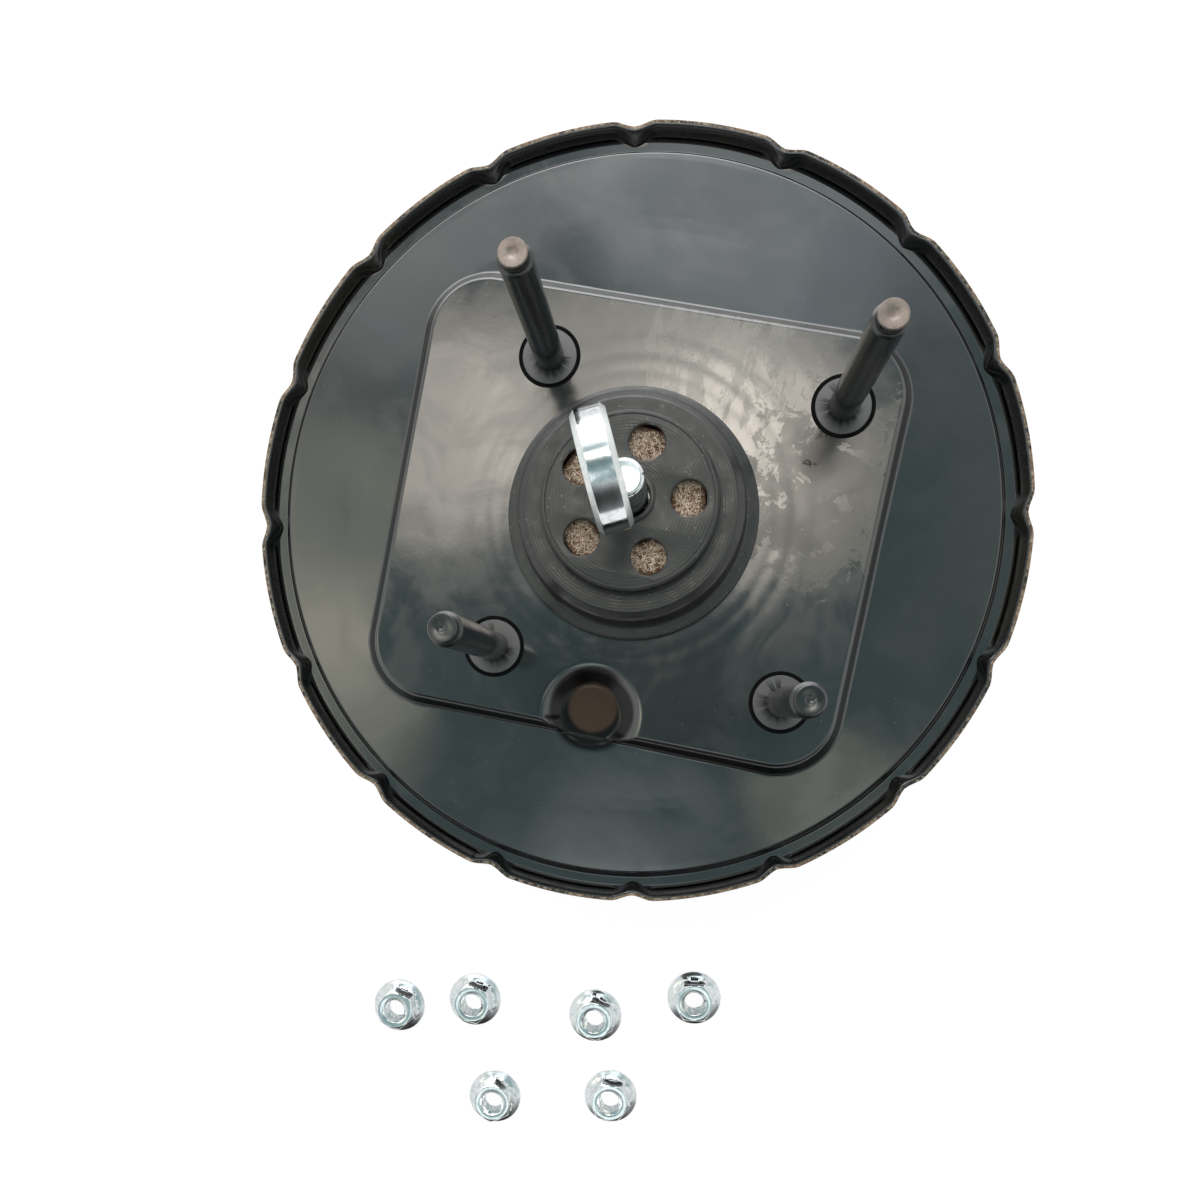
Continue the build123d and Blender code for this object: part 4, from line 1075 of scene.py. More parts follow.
# ---------------------------------------------------------------- studs
@dataclass
class Studs:
    """The pad's four long studs and the two for the master cylinder, with rolled threads."""

    radius: float = 4.0
    pitch: float = 1.25
    middle: tuple[float, float] = (9.3, -2.1)
    spacing: float = 80.0
    top: float = 64.3
    dog_length: float = 3.0
    dog_radius: float = 3.3
    cylinder_spacing: float = 84.0

    def thread_tree(self) -> bpy.types.NodeTree:
        """Geometry Nodes tree that rolls a thread round a tube and sets it at each point.

        Returns:
            The tree.
        """
        tree, out = new_tree(
            "rolled_thread",
            (
                ("Radius", "NodeSocketFloat", 0.004),
                ("Pitch", "NodeSocketFloat", 0.00125),
                ("Depth", "NodeSocketFloat", 0.0003),
                ("Foot", "NodeSocketFloat", 0.0),
                ("Length", "NodeSocketFloat", 0.05),
                ("Around", "NodeSocketInt", 48),
                ("Rows", "NodeSocketInt", 300),
                ("Ends", "NodeSocketObject", None),
                ("Bare Above", "NodeSocketFloat", 1.0),
                ("Bare Beyond", "NodeSocketFloat", 0.0),
                ("Paint", "NodeSocketMaterial", None),
                ("Bare", "NodeSocketMaterial", None),
            ),
        )
        columns = add_node(tree, MATH, (out["Around"], 1.0), operation="ADD")
        grid = add_node(tree, "GeometryNodeMeshGrid", (1.0, 1.0, columns, out["Rows"]))
        spot = add_node(tree, "GeometryNodeInputPosition")
        flat = add_node(tree, "ShaderNodeSeparateXYZ", (spot,)).node.outputs
        lap = add_node(tree, MATH, (flat["X"], 0.5), operation="ADD")
        gaps = add_node(tree, MATH, (out["Rows"], 1.0), operation="SUBTRACT")
        step = add_node(tree, MATH, (1.0, gaps), operation="DIVIDE")
        edge = add_node(tree, MATH, (0.5, step), operation="SUBTRACT")
        other = add_node(tree, MATH, (edge, -1.0), operation="MULTIPLY")
        along = add_node(tree, RANGE, (flat["Y"], other, edge, 0.0, 1.0))
        turn = add_node(tree, MATH, (lap, 2 * math.pi), operation="MULTIPLY")
        rise = add_node(tree, MATH, (along, out["Length"]), operation="MULTIPLY")
        turns = add_node(tree, MATH, (rise, out["Pitch"]), operation="DIVIDE")
        helix = add_node(tree, MATH, (turns, lap), operation="SUBTRACT")
        tooth = add_node(tree, MATH, (helix, 0.5), operation="PINGPONG")
        runs_in = add_node(tree, RANGE, (along, 0.0, 0.03, 0.0, 2.0), **SMOOTH)
        runs_out = add_node(tree, RANGE, (along, 0.97, 1.0, 1.0, 0.0), **SMOOTH)
        full = add_node(tree, MATH, (runs_in, runs_out), operation="MULTIPLY")
        deep = add_node(tree, MATH, (tooth, out["Depth"]), operation="MULTIPLY")
        cut = add_node(tree, MATH, (deep, full), operation="MULTIPLY")
        reach = add_node(tree, MATH, (out["Radius"], cut), operation="SUBTRACT")
        off = add_node(tree, MATH, (flat["Y"],), operation="ABSOLUTE")
        inside = add_node(tree, MATH, (off, 0.4999), operation="LESS_THAN")
        reach = add_node(tree, MATH, (reach, inside), operation="MULTIPLY")
        cosine = add_node(tree, MATH, (turn,), operation="COSINE")
        sine = add_node(tree, MATH, (turn,), operation="SINE")
        x = add_node(tree, MATH, (reach, cosine), operation="MULTIPLY")
        y = add_node(tree, MATH, (reach, sine), operation="MULTIPLY")
        z = add_node(tree, MATH, (rise, out["Foot"]), operation="ADD")
        place_at = add_node(tree, "ShaderNodeCombineXYZ", (x, y, z))
        rolled = add_node(tree, "GeometryNodeSetPosition", {"Geometry": grid, "Position": place_at})
        closed = add_node(tree, "GeometryNodeMergeByDistance", {"Geometry": rolled, "Distance": 1e-6})
        ends = add_node(tree, "GeometryNodeObjectInfo", {"Object": out["Ends"]}, "Geometry")
        stud = add_node(tree, "GeometryNodeJoinGeometry", {0: [closed, ends]})
        copies = add_node(tree, "GeometryNodeInstanceOnPoints", {"Points": out["Geometry"], "Instance": stud})
        where = add_node(tree, "ShaderNodeSeparateXYZ", (spot,)).node.outputs
        high = add_node(tree, MATH, (where["Z"], out["Bare Above"]), operation="GREATER_THAN")
        beyond = add_node(tree, MATH, (where["Y"], out["Bare Beyond"]), operation="GREATER_THAN")
        bare = add_node(tree, MATH, (high, beyond), operation="MULTIPLY")
        finish_tree(tree, copies, (out["Paint"], True), (out["Bare"], bare))
        return tree

    def points(self, name: str, places: Sequence[tuple[float, float]]) -> bpy.types.Mesh:
        """Mesh of loose points for a tree to set copies on.

        Args:
            name: The mesh's name.
            places: The points' X and Y in millimetres.

        Returns:
            The mesh.
        """
        mesh = bpy.data.meshes.new(name)
        mesh.from_pydata([(x * MM, y * MM, 0.0) for x, y in places], [], [])
        return mesh

    def hidden(self, name: str, profile: Sequence[tuple[float, float]]) -> bpy.types.Object:
        """Make a turned pattern piece that a tree copies."""
        return turned(name, profile, 64, Kind.STUD_PAINT.material, 30)

    def build(self) -> None:
        """Make both sets of studs and dress them."""
        tree = self.thread_tree()
        half = self.spacing / 2
        places = [
            (self.middle[0] + side * half, self.middle[1] + end * half) for side in (-1, 1) for end in (-1, 1)
        ]
        tip = self.top - self.dog_length
        ends = self.hidden(
            "stud_ends",
            (
                (0.0, -5.0),
                (7.5, -5.0),
                (7.5, -3.2),
                (4.0, -3.2),
                (4.0, 0.3),
                (3.98, 3.0),
                (3.98, tip - 1.2),
                (4.0, tip - 0.55),
                (3.4, tip),
                (self.dog_radius, tip + 0.02),
                (self.dog_radius, self.top - 0.25),
                (self.dog_radius - 0.25, self.top),
                (1.5, self.top),
                (1.1, self.top - 0.12),
                (0.0, self.top - 0.6),
            ),
        )
        values = {
            "Radius": self.radius * MM,
            "Pitch": self.pitch * MM,
            "Depth": 0.34 * MM,
            "Foot": 3.0 * MM,
            "Length": (tip - 1.2 - 3.0) * MM,
            "Around": 40,
            "Rows": 260,
            "Ends": ends,
            "Bare Above": (self.top - 0.5) * MM,
            "Bare Beyond": 0.0,
            "Paint": Kind.STUD_PAINT.material,
            "Bare": Kind.BARE_TIP.material,
        }
        long = grown("pad_studs", tree, self.points("pad_stud_points", places), values)
        long.data.set_sharp_from_angle(angle=math.radians(40))
        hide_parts("mounting_studs")
        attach(long, "housing")
        bpy.data.objects.remove(ends)
        ends = self.hidden(
            "cylinder_stud_ends",
            (
                (0.0, -56.8),
                (7.0, -56.8),
                (7.0, -58.6),
                (4.0, -58.6),
                (4.0, -62.0),
                (5.2, -62.0),
                (5.2, -62.6),
                (3.98, -62.6),
                (3.98, -64.4),
                (3.98, -82.6),
                (4.0, -83.4),
                (3.4, -84.0),
                (0.0, -84.0),
            )[::-1],
        )
        values |= {
            "Foot": -82.8 * MM,
            "Length": 18.4 * MM,
            "Rows": 110,
            "Ends": ends,
            "Bare Above": 1.0,
            "Paint": Kind.ZINC.material,
        }
        places = [(-self.cylinder_spacing / 2, 0.0), (self.cylinder_spacing / 2, 0.0)]
        short = grown("cylinder_studs", tree, self.points("cylinder_stud_points", places), values)
        short.data.set_sharp_from_angle(angle=math.radians(40))
        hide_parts("master_cylinder_studs")
        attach(short, "housing")
        bpy.data.objects.remove(ends)
        self.build_seats()

    def build_seats(self) -> None:
        """Make each long stud's pressed-in collar, flush with the pad, and round it a matt black ring painted
        as the shadow in the gap.
        """
        collar = rounded_line(
            ((4.0, -0.3), (4.0, 0.24), (7.35, 0.2), (7.45, -0.3)), (0.0001, 0.12)
        )
        # The ring round the collar, in matt black: painted shadow in the gap between collar and pad.
        gap = ((7.4, -0.3), (7.4, 0.05), (8.45, 0.05), (8.6, -0.3))
        half = self.spacing / 2
        for side in (-1, 1):
            for end in (-1, 1):
                name = "stud_seat_" + ("left" if side < 0 else "right") + ("_low" if end < 0 else "_high")
                seat = join(
                    name,
                    turned(name, collar, 96, Kind.SEAT_PAINT.material, 50),
                    turned(name + "_gap", gap, 96, Kind.SHADOW_GAP.material, 50),
                )
                spot = (self.middle[0] + side * half, self.middle[1] + end * half, 0)
                place(seat, Matrix.Translation(spot))
                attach(seat, "housing")


# ---------------------------------------------------------------- boot, felt and rod
@dataclass
class DustBoot:
    """The stepped rubber boot with its breather holes."""

    cap_radius: float = 22.7
    cap_top: float = 20.0
    cap_wall: float = 1.8
    breathers: int = 5
    breather_radius: float = 4.6
    breather_circle: float = 15.1
    breather_turn: float = 12.2
    rod_hole: float = 5.35
    lip_shift: tuple[float, float] = (-0.44, 0.91)

    def circle(self, curve: bpy.types.Curve, middle: tuple[float, float], radius: float) -> None:
        """Add a closed Bezier circle to a flat curve.

        Args:
            curve: The curve that gets it.
            middle: The circle's centre in millimetres.
            radius: Its radius in millimetres.
        """
        spline = curve.splines.new("BEZIER")
        spline.bezier_points.add(3)
        spline.use_cyclic_u = True
        for index, point in enumerate(spline.bezier_points):
            turn = index * math.pi / 2
            handle = radius * BEZIER_ROUND
            at = Vector((middle[0] + radius * math.cos(turn), middle[1] + radius * math.sin(turn), 0)) * MM
            along = Vector((-math.sin(turn), math.cos(turn), 0)) * handle * MM
            point.co = at
            point.handle_left = at - along
            point.handle_right = at + along

    def cap(self) -> bpy.types.Object:
        """Make the pierced top disc, its edges rounded.

        Returns:
            The disc's object.
        """
        curve = bpy.data.curves.new("boot_cap", "CURVE")
        curve.dimensions = "2D"
        curve.fill_mode = "BOTH"
        curve.resolution_u = 24
        bevel = 0.35
        curve.extrude = (self.cap_wall / 2 - bevel) * MM
        curve.bevel_depth = bevel * MM
        curve.bevel_resolution = 3
        self.circle(curve, (0, 0), self.cap_radius - bevel)
        for hole in range(self.breathers):
            turn = math.radians(self.breather_turn + hole * 360 / self.breathers)
            middle = (self.breather_circle * math.cos(turn), self.breather_circle * math.sin(turn))
            self.circle(curve, middle, self.breather_radius + bevel)
        self.circle(curve, self.lip_shift, self.rod_hole + bevel)
        seed = bpy.data.objects.new("boot_cap", curve)
        bpy.context.scene.collection.objects.link(seed)
        graph = bpy.context.evaluated_depsgraph_get()
        mesh = bpy.data.meshes.new_from_object(seed.evaluated_get(graph))
        bpy.data.objects.remove(seed)
        mesh.materials.clear()
        mesh.materials.append(Kind.BOOT.material)
        cap = bpy.data.objects.new("boot_cap", mesh)
        bpy.context.scene.collection.objects.link(cap)
        return sharpen(place(cap, Matrix.Translation((0, 0, self.cap_top - self.cap_wall / 2))), 30)

    def build(self) -> bpy.types.Object:
        """Make the boot.

        Returns:
            The boot's object.
        """
        outside = rounded_line(
            (
                (25.9, 0.3),
                (33.9, 0.3),
                (33.9, 2.3),
                (30.6, 3.0),
                (29.0, 8.2),
                (29.9, 12.2),
                (27.6, 14.3),
                (23.3, 14.3),
                (22.6, 15.4),
                (22.6, 19.4),
                (21.9, 19.4),
                (21.6, 13.0),
                (26.4, 12.9),
                (28.3, 11.2),
                (27.7, 8.2),
                (28.4, 3.6),
                (25.9, 2.3),
            ),
            (0.3, 0.6, 0.9, 3.0, 1.2, 0.9, 0.7, 0.6, 0.1, 0.1, 0.4, 0.8, 1.0, 2.0, 0.8),
            4,
        )
        sleeve = turned("boot_sleeve", spread(outside, 1.5), 200, Kind.BOOT.material, 45)
        ring = rounded_line(
            ((19.6, 19.9), (21.4, 19.9), (21.7, 20.28), (22.25, 20.28), (22.5, 19.7), (19.6, 19.7)),
            (0.2, 0.15, 0.2, 0.2),
        )
        bead = turned("boot_bead", ring, 200, Kind.BOOT.material, 60)
        lip = rounded_line(
            (
                (self.rod_hole, 18.4),
                (7.1, 18.4),
                (6.9, 20.3),
                (6.4, 20.7),
                (5.7, 20.7),
                (self.rod_hole, 20.3),
            ),
            (0.1, 0.3, 0.25, 0.25),
        )
        collar = place(
            turned("boot_lip", lip, 96, Kind.BOOT.material, 50), Matrix.Translation((*self.lip_shift, 0))
        )
        boot = join("rod_boot", self.cap(), sleeve, bead, collar)
        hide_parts("dust_boot")
        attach(boot, "housing")
        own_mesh(boot)
        return boot


@dataclass
class FeltFilter:
    """The air filter's pressed fibre, seen through the boot's holes."""

    outer: float = 19.4
    inner: float = 10.4
    foot: float = 14.2
    top: float = 17.35
    strand_length: float = 2.2
    strand_radius: float = 0.15
    per_area: float = 6.0
    face_steps: int = 60
    face_margin: float = 1.2
    face_depth: float = 0.15
    seed: int = 11

    def strand(self) -> bpy.types.Object:
        """Make one bent fibre, lying along X.

        Returns:
            The fibre's object.
        """
        bend = [(-0.5, -0.06), (-0.2, 0.05), (0.15, 0.08), (0.5, -0.05)]
        rings = []
        for x, y in bend:
            for corner in range(3):
                turn = corner * 2 * math.pi / 3
                rings.append(
                    (
                        x * self.strand_length,
                        y * self.strand_length + self.strand_radius * math.cos(turn),
                        self.strand_radius * math.sin(turn),
                    )
                )
        points = np.array(rings).reshape(4, 3, 3)
        ends = [(2, 1, 0), (9, 10, 11)]
        return make_object("felt_strand", points, [*closed_grid(points, False), *ends], Kind.FELT.material)

    def tree(self) -> bpy.types.NodeTree:
        """Geometry Nodes tree that strews fibres over a disc.

        Returns:
            The tree.
        """
        tree, out = new_tree(
            "strewn_fibres",
            (
                ("Strand", "NodeSocketObject", None),
                ("Density", "NodeSocketFloat", 6.5e6),
                ("Seed", "NodeSocketInt", 1),
                ("Tilt", "NodeSocketFloat", 0.12),
                ("Finish", "NodeSocketMaterial", None),
            ),
        )
        points = add_node(
            tree,
            "GeometryNodeDistributePointsOnFaces",
            {"Mesh": out["Geometry"], "Density": out["Density"], "Seed": out["Seed"]},
            "Points",
        )
        down = add_node(tree, MATH, (out["Tilt"], -1.0), operation="MULTIPLY")
        low = add_node(tree, "ShaderNodeCombineXYZ", (down, down, 0.0))
        high = add_node(tree, "ShaderNodeCombineXYZ", (out["Tilt"], out["Tilt"], 2 * math.pi))
        spin = add_node(
            tree,
            "FunctionNodeRandomValue",
            {0: low, 1: high, "Seed": out["Seed"]},
            0,
            data_type="FLOAT_VECTOR",
        )
        strand = add_node(tree, "GeometryNodeObjectInfo", {"Object": out["Strand"]}, "Geometry")
        copies = add_node(
            tree, "GeometryNodeInstanceOnPoints", {"Points": points, "Instance": strand, "Rotation": spin}
        )
        shade = add_node(tree, "FunctionNodeRandomValue", {2: 0.0, 3: 1.0, "Seed": 5}, 1, data_type="FLOAT")
        marked = add_node(
            tree,
            "GeometryNodeStoreNamedAttribute",
            {"Geometry": copies, "Name": "shade", "Value": shade},
            data_type="FLOAT",
            domain="INSTANCE",
        )
        whole = add_node(tree, "GeometryNodeJoinGeometry", {0: [out["Geometry"], marked]})
        finish_tree(tree, whole, (out["Finish"], True))
        return tree

    def build(self) -> bpy.types.Object:
        """Make the felt ring with its fibres.

        Returns:
            The felt's object.
        """
        profile = rounded_line(
            (
                (self.inner, self.foot),
                (self.inner, self.top - 0.2),
                (self.outer, self.top - 0.2),
                (self.outer, self.foot),
            ),
            (0.5, 0.5),
        )
        pad = turned("felt_pad", spread(profile, 1.0), 120, Kind.FELT.material, 60)
        strand = self.strand()
        top = bpy.data.meshes.new("felt_face")
        count = self.face_steps
        level = (self.top - self.face_depth) * MM
        ring = []
        for radius in (self.inner + self.face_margin, self.outer - self.face_margin):
            for step in range(count):
                turn = step * math.pi / (count / 2)
                ring.append((radius * math.cos(turn) * MM, radius * math.sin(turn) * MM, level))
        quads = [(i, (i + 1) % count, count + (i + 1) % count, count + i) for i in range(count)]
        top.from_pydata(ring, [], quads)
        values = {
            "Strand": strand,
            "Density": self.per_area * 1e6,
            "Seed": self.seed,
            "Tilt": 0.1,
            "Finish": Kind.FELT.material,
        }
        fibres = grown("felt_fibres", self.tree(), top, values)
        bpy.data.objects.remove(strand)
        felt = join("felt_ring", pad, fibres)
        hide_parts("felt_filter")
        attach(felt, "power_piston")
        return felt


@dataclass
class PushRod:
    """The pedal's push rod with its flat eye."""

    ball_height: float = 5.6
    ball_radius: float = 5.6
    shank_radius: float = 5.0
    lean: float = 4.0
    eye_turn: float = 25.8
    eye_offset: float = 4.4
    eye_height: float = 41.0
    eye_radius: float = 14.4
    eye_half: float = 4.2
    edge: float = 1.3
    pin_radius: float = 6.1

    def build(self) -> bpy.types.Object:
        """Make the rod, turned and leant as it lies.

        Returns:
            The rod's object.
        """
        face = self.eye_radius - self.edge
        rim = self.eye_half - self.edge
        profile = rounded_line(
            (
                (self.pin_radius, 0.0),
                (self.pin_radius, self.eye_half - 0.6),
                (self.pin_radius + 0.6, self.eye_half),
                (face, self.eye_half),
                (self.eye_radius, rim),
                (self.eye_radius, 0.0),
                (self.eye_radius, -rim),
                (face, -self.eye_half),
                (self.pin_radius + 0.6, -self.eye_half),
                (self.pin_radius, 0.6 - self.eye_half),
            ),
            (0.08, 0.12, 0.5, 0.45, 0.01, 0.45, 0.5, 0.12),
            5,
        )
        eye = turned("rod_eye", spread(profile, 1.6), 160, Kind.ZINC.material, 40)
        eye.data.materials.append(Kind.ZINC_EDGE.material)
        for side in eye.data.polygons:
            across = math.hypot(side.center.x, side.center.y) / MM
            if across > face - 0.1 and abs(side.center.z) / MM > rim + 0.1:
                side.material_index = 1
        upright = Matrix.Rotation(math.pi / 2, 4, "Y")
        place(eye, Matrix.Translation((-self.eye_offset, 0, self.eye_height)) @ upright)
        shank_top = self.eye_height - self.eye_radius + self.shank_radius
        tilts = [math.radians(step) for step in range(0, 141, 10)]
        ball = [(self.ball_radius * math.sin(tilt), -self.ball_radius * math.cos(tilt)) for tilt in tilts]
        shank = rounded_line(
            (
                (3.6, 5.6),
                (3.6, 8.0),
                (self.shank_radius, 9.0),
                (self.shank_radius, shank_top - 3.0),
                (self.shank_radius, shank_top),
                (0.0, shank_top + 0.01),
            ),
            (0.3, 0.6, 0.1, 1.2),
        )
        stem = turned("rod_stem", spread(ball + shank, 2.5), 72, Kind.ZINC.material, 50)
        rod = join("pedal_push_rod", stem, eye)
        spin = Matrix.Rotation(math.radians(self.eye_turn), 4, "Z")
        aim = spin @ Matrix.Rotation(math.radians(-self.lean), 4, "X")
        place(rod, Matrix.Translation((0, 0, self.ball_height)) @ aim)
        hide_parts("push_rod")
        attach(rod, "pedal_rod")
        return rod


# ---------------------------------------------------------------- nuts
@dataclass
class FlangeNuts:
    """Six loose M8 flange nuts."""

    flats: float = 13.0
    flange: float = 9.5
    height: float = 8.0
    bore: float = 3.4
    pitch: float = 1.25
    tooth: float = 0.45
    thread_rows: int = 43
    floor: float = -84.0
    places: tuple[Triple, ...] = (
        (-55.6, -176.0, 20.0),
        (-28.4, -167.5, 24.0),
        (15.8, -163.4, 15.0),
        (49.1, -149.1, 40.0),
        (-14.3, -201.3, 5.0),
        (27.1, -191.3, 33.0),
    )

    def pattern(self) -> bpy.types.Object:
        """Make one nut at the origin: flange, hex with cut corners and threaded bore.

        Returns:
            The nut's object.
        """
        around = 144
        turn = np.linspace(0, 2 * math.pi, around, endpoint=False)
        off = (turn + math.pi / 6) % (math.pi / 3) - math.pi / 6
        side = self.flats / 2 / np.cos(off)
        side = smooth_less(side, np.full_like(side, self.flats / 2 / math.cos(math.pi / 6) - 0.02), 0.25)
        low = self.flats / 2
        crown = self.height - (side - low + 0.35) * math.tan(math.radians(30))
        round_ = np.ones(around)
        rings: list[tuple[np.ndarray, np.ndarray]] = [
            (round_ * (self.bore + 0.9), round_ * 0.0),
            (round_ * (self.flange - 0.35), round_ * 0.0),
            (round_ * (self.flange - 0.08), round_ * 0.12),
            (round_ * self.flange, round_ * 0.4),
            (round_ * self.flange, round_ * 0.85),
            (round_ * (self.flange - 0.15), round_ * 1.15),
            (round_ * (self.flange - 0.5), round_ * 1.3),
            (round_ * 8.4, round_ * 1.62),
            (side * 0.0 + 7.95, round_ * 1.8),
            (np.maximum(side + 0.25, 7.0), round_ * 2.1),
            (side + 0.02, round_ * 2.5),
            (side, round_ * 3.1),
            (side, (crown + 3.1) / 2),
            (side, crown - 0.08),
            (side - 0.07, crown + 0.02),
            (round_ * (low - 0.3), round_ * (self.height - 0.02)),
            (round_ * (low - 0.5), round_ * self.height),
            (round_ * (self.bore + 1.12), round_ * self.height),
            (round_ * (self.bore + 0.98), round_ * (self.height - 0.05)),
        ]
        flat_turn = turn / (2 * math.pi)
        for row in range(self.thread_rows):
            level = self.height - 1.0 - row * (self.height - 2.0) / (self.thread_rows - 1)
            wave = np.abs(2 * ((level / self.pitch - flat_turn) % 1.0) - 1)
            rings.append((round_ * (self.bore + self.tooth * wave), round_ * level))
        cosine, sine = np.cos(turn), np.sin(turn)
        circles = [np.stack([radius * cosine, radius * sine, level], axis=1) for radius, level in rings]
        points = np.stack(circles)
        nut = make_object("nut_pattern", points, closed_grid(points, True), Kind.NUT_ZINC.material)
        return sharpen(nut, 28)

    def tree(self) -> bpy.types.NodeTree:
        """Geometry Nodes tree that sets a nut on each point, turned by the point's own angle.

        Returns:
            The tree.
        """
        inputs = (("Nut", "NodeSocketObject", None), ("Finish", "NodeSocketMaterial", None))
        tree, out = new_tree("laid_nuts", inputs)
        nut = add_node(tree, "GeometryNodeObjectInfo", {"Object": out["Nut"]}, "Geometry")
        angle = add_node(tree, "GeometryNodeInputNamedAttribute", {"Name": "turn"}, 0, data_type="FLOAT")
        spin = add_node(tree, "ShaderNodeCombineXYZ", (0.0, 0.0, angle))
        copies = add_node(
            tree,
            "GeometryNodeInstanceOnPoints",
            {"Points": out["Geometry"], "Instance": nut, "Rotation": spin},
        )
        finish_tree(tree, copies, (out["Finish"], True))
        return tree

    def build(self) -> bpy.types.Object:
        """Lay the nuts on the floor.

        Returns:
            The nuts' object.
        """
        nut = self.pattern()
        mesh = bpy.data.meshes.new("nut_points")
        mesh.from_pydata([(x * MM, y * MM, self.floor * MM) for x, y, _ in self.places], [], [])
        turns = mesh.attributes.new("turn", "FLOAT", "POINT")
        turns.data.foreach_set("value", [math.radians(turn) for _, _, turn in self.places])
        nuts = grown("loose_nuts", self.tree(), mesh, {"Nut": nut, "Finish": Kind.NUT_ZINC.material})
        bpy.data.objects.remove(nut)
        nuts.data.set_sharp_from_angle(angle=math.radians(28))
        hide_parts("flange_nuts")
        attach(nuts, "nuts")
        return nuts


# ---------------------------------------------------------------- pieces that keep their CAD form
@dataclass
class InnerPieces:
    """Finishes for the pieces inside and under the booster."""

    finishes: dict[Kind, tuple[str, ...]] = field(
        default_factory=lambda: {
            Kind.SHEET: (
                "rear_reinforcement",
                "front_reinforcement",
                "poppet_retainer",
                "output_rod_retainer",
                "diaphragm_plate",
            ),
            Kind.ZINC: ("stop_key", "air_valve", "rod_spring_seat", "output_rod", "adjusting_screw"),
            Kind.SEAL: (
                "neck_seal",
                "poppet_valve",
                "reaction_disc",
                "diaphragm",
                "check_valve_grommet",
                "check_valve_disc",
            ),
            Kind.BLACK_PLASTIC: ("valve_body", "check_valve_body", "check_valve_cap"),
            Kind.PALE_PLASTIC: ("neck_bush", "neck_retainer", "filter_retainer"),
            Kind.WIRE: ("poppet_spring", "rod_return_spring", "return_spring", "check_valve_spring"),
            Kind.FOAM: ("foam_silencer",),
        }
    )

    def dress(self, nodes: dict[str, bpy.types.Object]) -> None:
        """Give each piece its finish.

        Args:
            nodes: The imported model's objects by name.
        """
        for kind, names in self.finishes.items():
            for name in names:
                mesh = nodes[name].data
                mesh.materials.clear()
                mesh.materials.append(kind.material)
                LOG.info("dressed %s in %s", name, kind.value.name)


# ---------------------------------------------------------------- studio
@dataclass(frozen=True)
class Glow:
    """A soft patch of light in the studio's dome, or of shade where its strength is below zero."""

    toward: Triple
    inner: float
    outer: float
    strength: float
    color: str = "#ffffff"

    def lit(
        self, tree: bpy.types.NodeTree, aim: bpy.types.NodeSocket, light: bpy.types.NodeSocket
    ) -> bpy.types.NodeSocket:
        """Add this patch to the dome's light.

        Args:
            tree: The world's tree.
            aim: The direction's socket.
            light: The light without this patch.

        Returns:
            The light with it.
        """
        middle = Vector(self.toward).normalized()
        near = add_node(tree, VECTOR_MATH, (aim, middle), "Value", operation="DOT_PRODUCT")
        edges = (math.cos(math.radians(self.outer)), math.cos(math.radians(self.inner)))
        share = add_node(tree, RANGE, (near, *edges, 0.0, abs(self.strength)), **SMOOTH)
        if self.strength < 0:
            return add_node(tree, MIX, {0: share, 6: light, 7: srgb("#000000")}, 2, **BLEND)
        patch = add_node(
            tree, MIX, {0: 1.0, 6: srgb(self.color), 7: share}, 2, **BLEND, blend_type="MULTIPLY"
        )
        return add_node(tree, MIX, {0: 1.0, 6: light, 7: patch}, 2, **BLEND, blend_type="ADD")


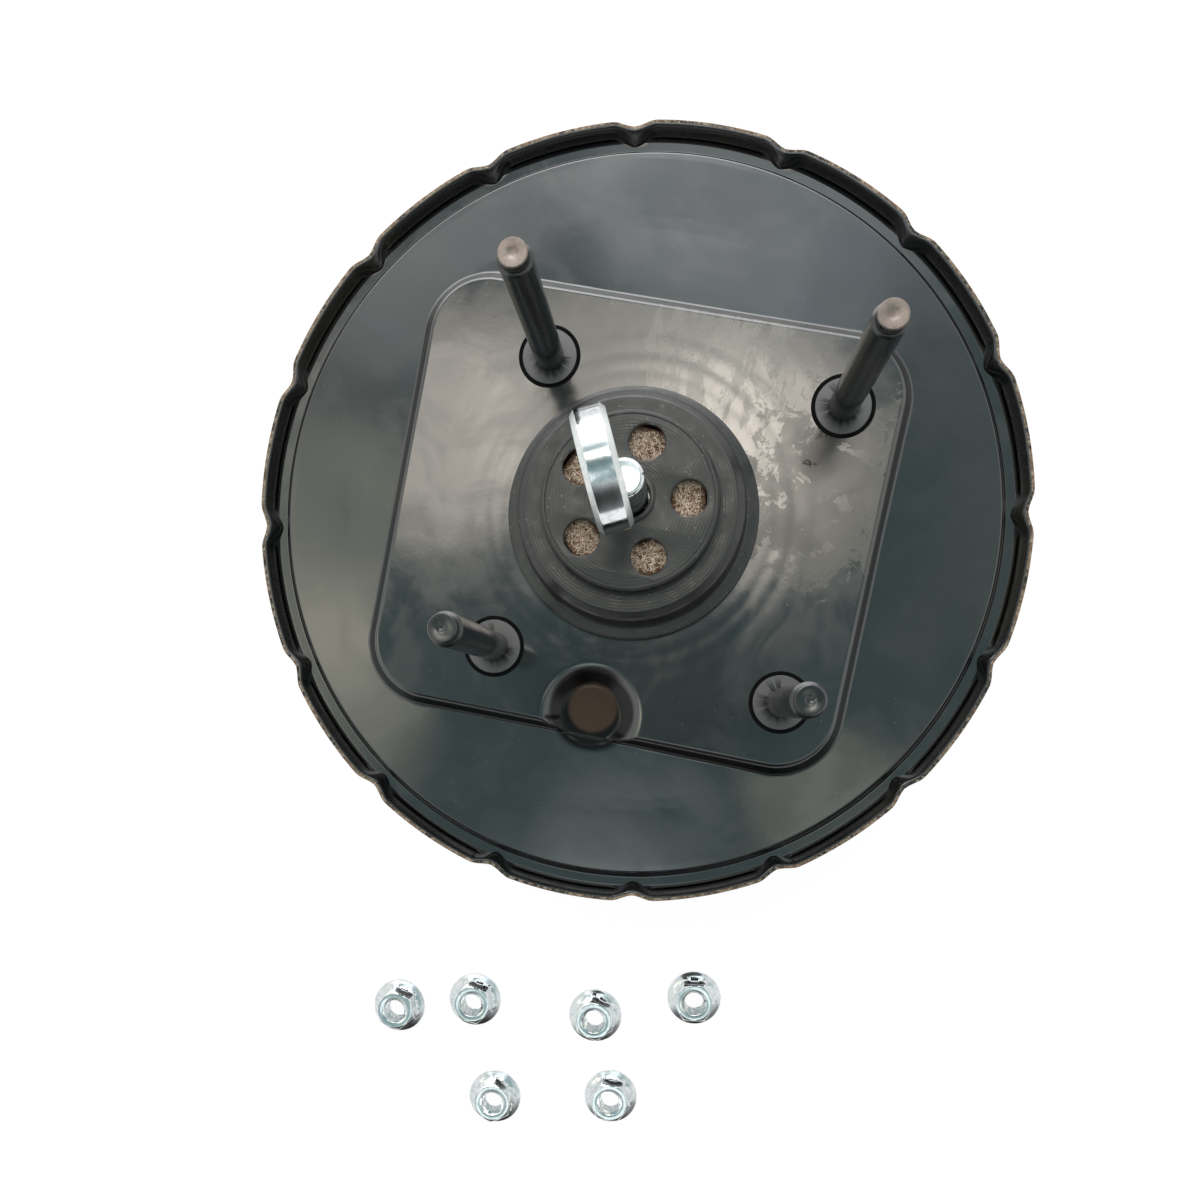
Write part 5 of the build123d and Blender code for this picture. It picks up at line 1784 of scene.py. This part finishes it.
@dataclass
class Studio:
    """Floor, dome of light and camera."""

    floor: float = -84.05
    eye: Triple = (22.41, -49.70, 284.55)
    right: Triple = (0.97550, 0.19473, -0.10237)
    up: Triple = (-0.20095, 0.97809, -0.05439)
    back: Triple = (0.08954, 0.07363, 0.99326)
    focal: float = 1032.4
    middle: tuple[float, float] = (570.3, 767.2)
    frame: float = 1200.0
    overhead: str = "#90abae"
    horizon: str = "#eef2f2"
    glows: tuple[Glow, ...] = (
        Glow((0.02, 0.245, 1.0), 2.5, 7.2, 4.9, "#fff3e6"),
        Glow((-0.11, 0.27, 1.0), 4, 9, 2.0, "#fff3e6"),
        Glow((-0.28, 0.215, 1.0), 3.5, 7.5, 2.9, "#fff3e6"),
        Glow((-0.02, 0.46, 1.0), 4, 10, 0.3, "#fff3e6"),
        Glow((0.02, 0.62, 1.0), 4, 15, 0.5, "#e6f1ff"),
        Glow((0.10, 0.56, 1.0), 1, 6, 0.3, "#e6f1ff"),
        Glow((-0.20, 1.0, 0.8), 6, 20, 1.5),
        Glow((-0.58, 0.02, 1.0), 3, 14, 0.75, "#fff6dc"),
        Glow((-0.48, -0.14, 1.0), 3, 11, 1.0, "#fff6dc"),
        Glow((0.27, -0.16, 1.0), 2, 8, 0.8, "#fff6dc"),
        Glow((0.0, -0.40, 1.0), 4, 11, 0.8),
        Glow((-0.50, 0.45, 1.0), 2, 7, 0.45),
        Glow((-0.35, 1.0, 0.25), 20, 50, 2.2),
        Glow((-0.03, -0.02, 1.0), 3, 9, -0.35),
        Glow((0.75, -1.0, 0.25), 20, 48, -0.75),
        Glow((0.0, -1.0, 0.50), 15, 38, -0.85),
    )

    def build_floor(self) -> bpy.types.Object:
        """Make the white floor, which keeps a faint shadow.

        Returns:
            The floor's object.
        """
        material = bpy.data.materials.new("white_floor")
        material.use_nodes = True
        tree = material.node_tree
        tree.nodes.clear()
        path = add_node(tree, "ShaderNodeLightPath").node.outputs
        mirrored = add_node(
            tree, MATH, (path["Is Glossy Ray"], path["Is Transmission Ray"]), operation="MAXIMUM"
        )
        seen = add_node(tree, MATH, (path["Is Camera Ray"], mirrored), operation="MAXIMUM")
        share = add_node(tree, MATH, (seen, 0.88), operation="MULTIPLY")
        matt = add_node(tree, "ShaderNodeBsdfDiffuse", {"Color": srgb("#f8f8f8")})
        lit = add_node(tree, "ShaderNodeEmission", {"Color": srgb("#ffffff"), "Strength": 1.06})
        mixed = add_node(tree, "ShaderNodeMixShader", (share, matt, lit))
        add_node(tree, "ShaderNodeOutputMaterial", {"Surface": mixed})
        reach = 4000.0
        corners = np.array([(-reach, -reach, 0), (reach, -reach, 0), (reach, reach, 0), (-reach, reach, 0)])
        floor = make_object("floor", corners + np.array([0, 0, self.floor]), [(0, 1, 2, 3)], material)
        return floor

    def build_dome(self) -> None:
        """Light the scene from a dome with soft brighter and darker patches."""
        world = bpy.data.worlds.new("studio")
        bpy.context.scene.world = world
        world.use_nodes = True
        tree = world.node_tree
        tree.nodes.clear()
        ray = add_node(tree, "ShaderNodeTexCoord", (), "Generated")
        aim = add_node(tree, VECTOR_MATH, (ray,), operation="NORMALIZE")
        height = add_node(tree, "ShaderNodeSeparateXYZ", (aim,), "Z")
        share = add_node(tree, RANGE, (height, 0.7, 0.96, 0.0, 1.0), **SMOOTH)
        light = add_node(tree, MIX, {0: share, 6: srgb(self.horizon), 7: srgb(self.overhead)}, 2, **BLEND)
        for glow in self.glows:
            light = glow.lit(tree, aim, light)
        dome = add_node(tree, "ShaderNodeBackground", (light, 1.0))
        white = add_node(tree, "ShaderNodeBackground", (srgb("#ffffff"), 1.06))
        seen = add_node(tree, "ShaderNodeLightPath", (), "Is Camera Ray")
        mixed = add_node(tree, "ShaderNodeMixShader", (seen, dome, white))
        add_node(tree, "ShaderNodeOutputWorld", {"Surface": mixed})

    def build_camera(self) -> bpy.types.Object:
        """Set up the camera over the booster.

        Returns:
            The camera's object.
        """
        data = bpy.data.cameras.new("camera")
        data.sensor_width = 36.0
        data.lens = self.focal / self.frame * data.sensor_width
        data.shift_x = (self.frame / 2 - self.middle[0]) / self.frame
        data.shift_y = (self.middle[1] - self.frame / 2) / self.frame
        data.clip_start = 0.01
        camera = bpy.data.objects.new("camera", data)
        bpy.context.scene.collection.objects.link(camera)
        turn = Matrix((self.right, self.up, self.back)).transposed().to_4x4()
        camera.matrix_world = Matrix.Translation(Vector(self.eye) * MM) @ turn
        bpy.context.scene.camera = camera
        return camera

    def build(self) -> None:
        """Make the whole studio."""
        self.build_floor()
        self.build_dome()
        self.build_camera()
        bpy.context.scene.view_settings.view_transform = "Standard"


def main() -> None:
    """Build, dress and light the booster."""
    logging.basicConfig(level=logging.INFO, format="%(name)s: %(message)s")
    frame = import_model()
    steps: tuple[tuple[str, Callable[[], object]], ...] = (
        ("rear shell", RearShell().build),
        ("front shell", FrontShell().build),
        ("studs", Studs().build),
        ("dust boot", DustBoot().build),
        ("felt filter", FeltFilter().build),
        ("push rod", PushRod().build),
        ("flange nuts", FlangeNuts().build),
        ("studio", Studio().build),
    )
    for label, build in steps:
        build()
        LOG.info("made the %s", label)
    InnerPieces().dress(frame["nodes"])


if __name__ == "__main__":
    main()
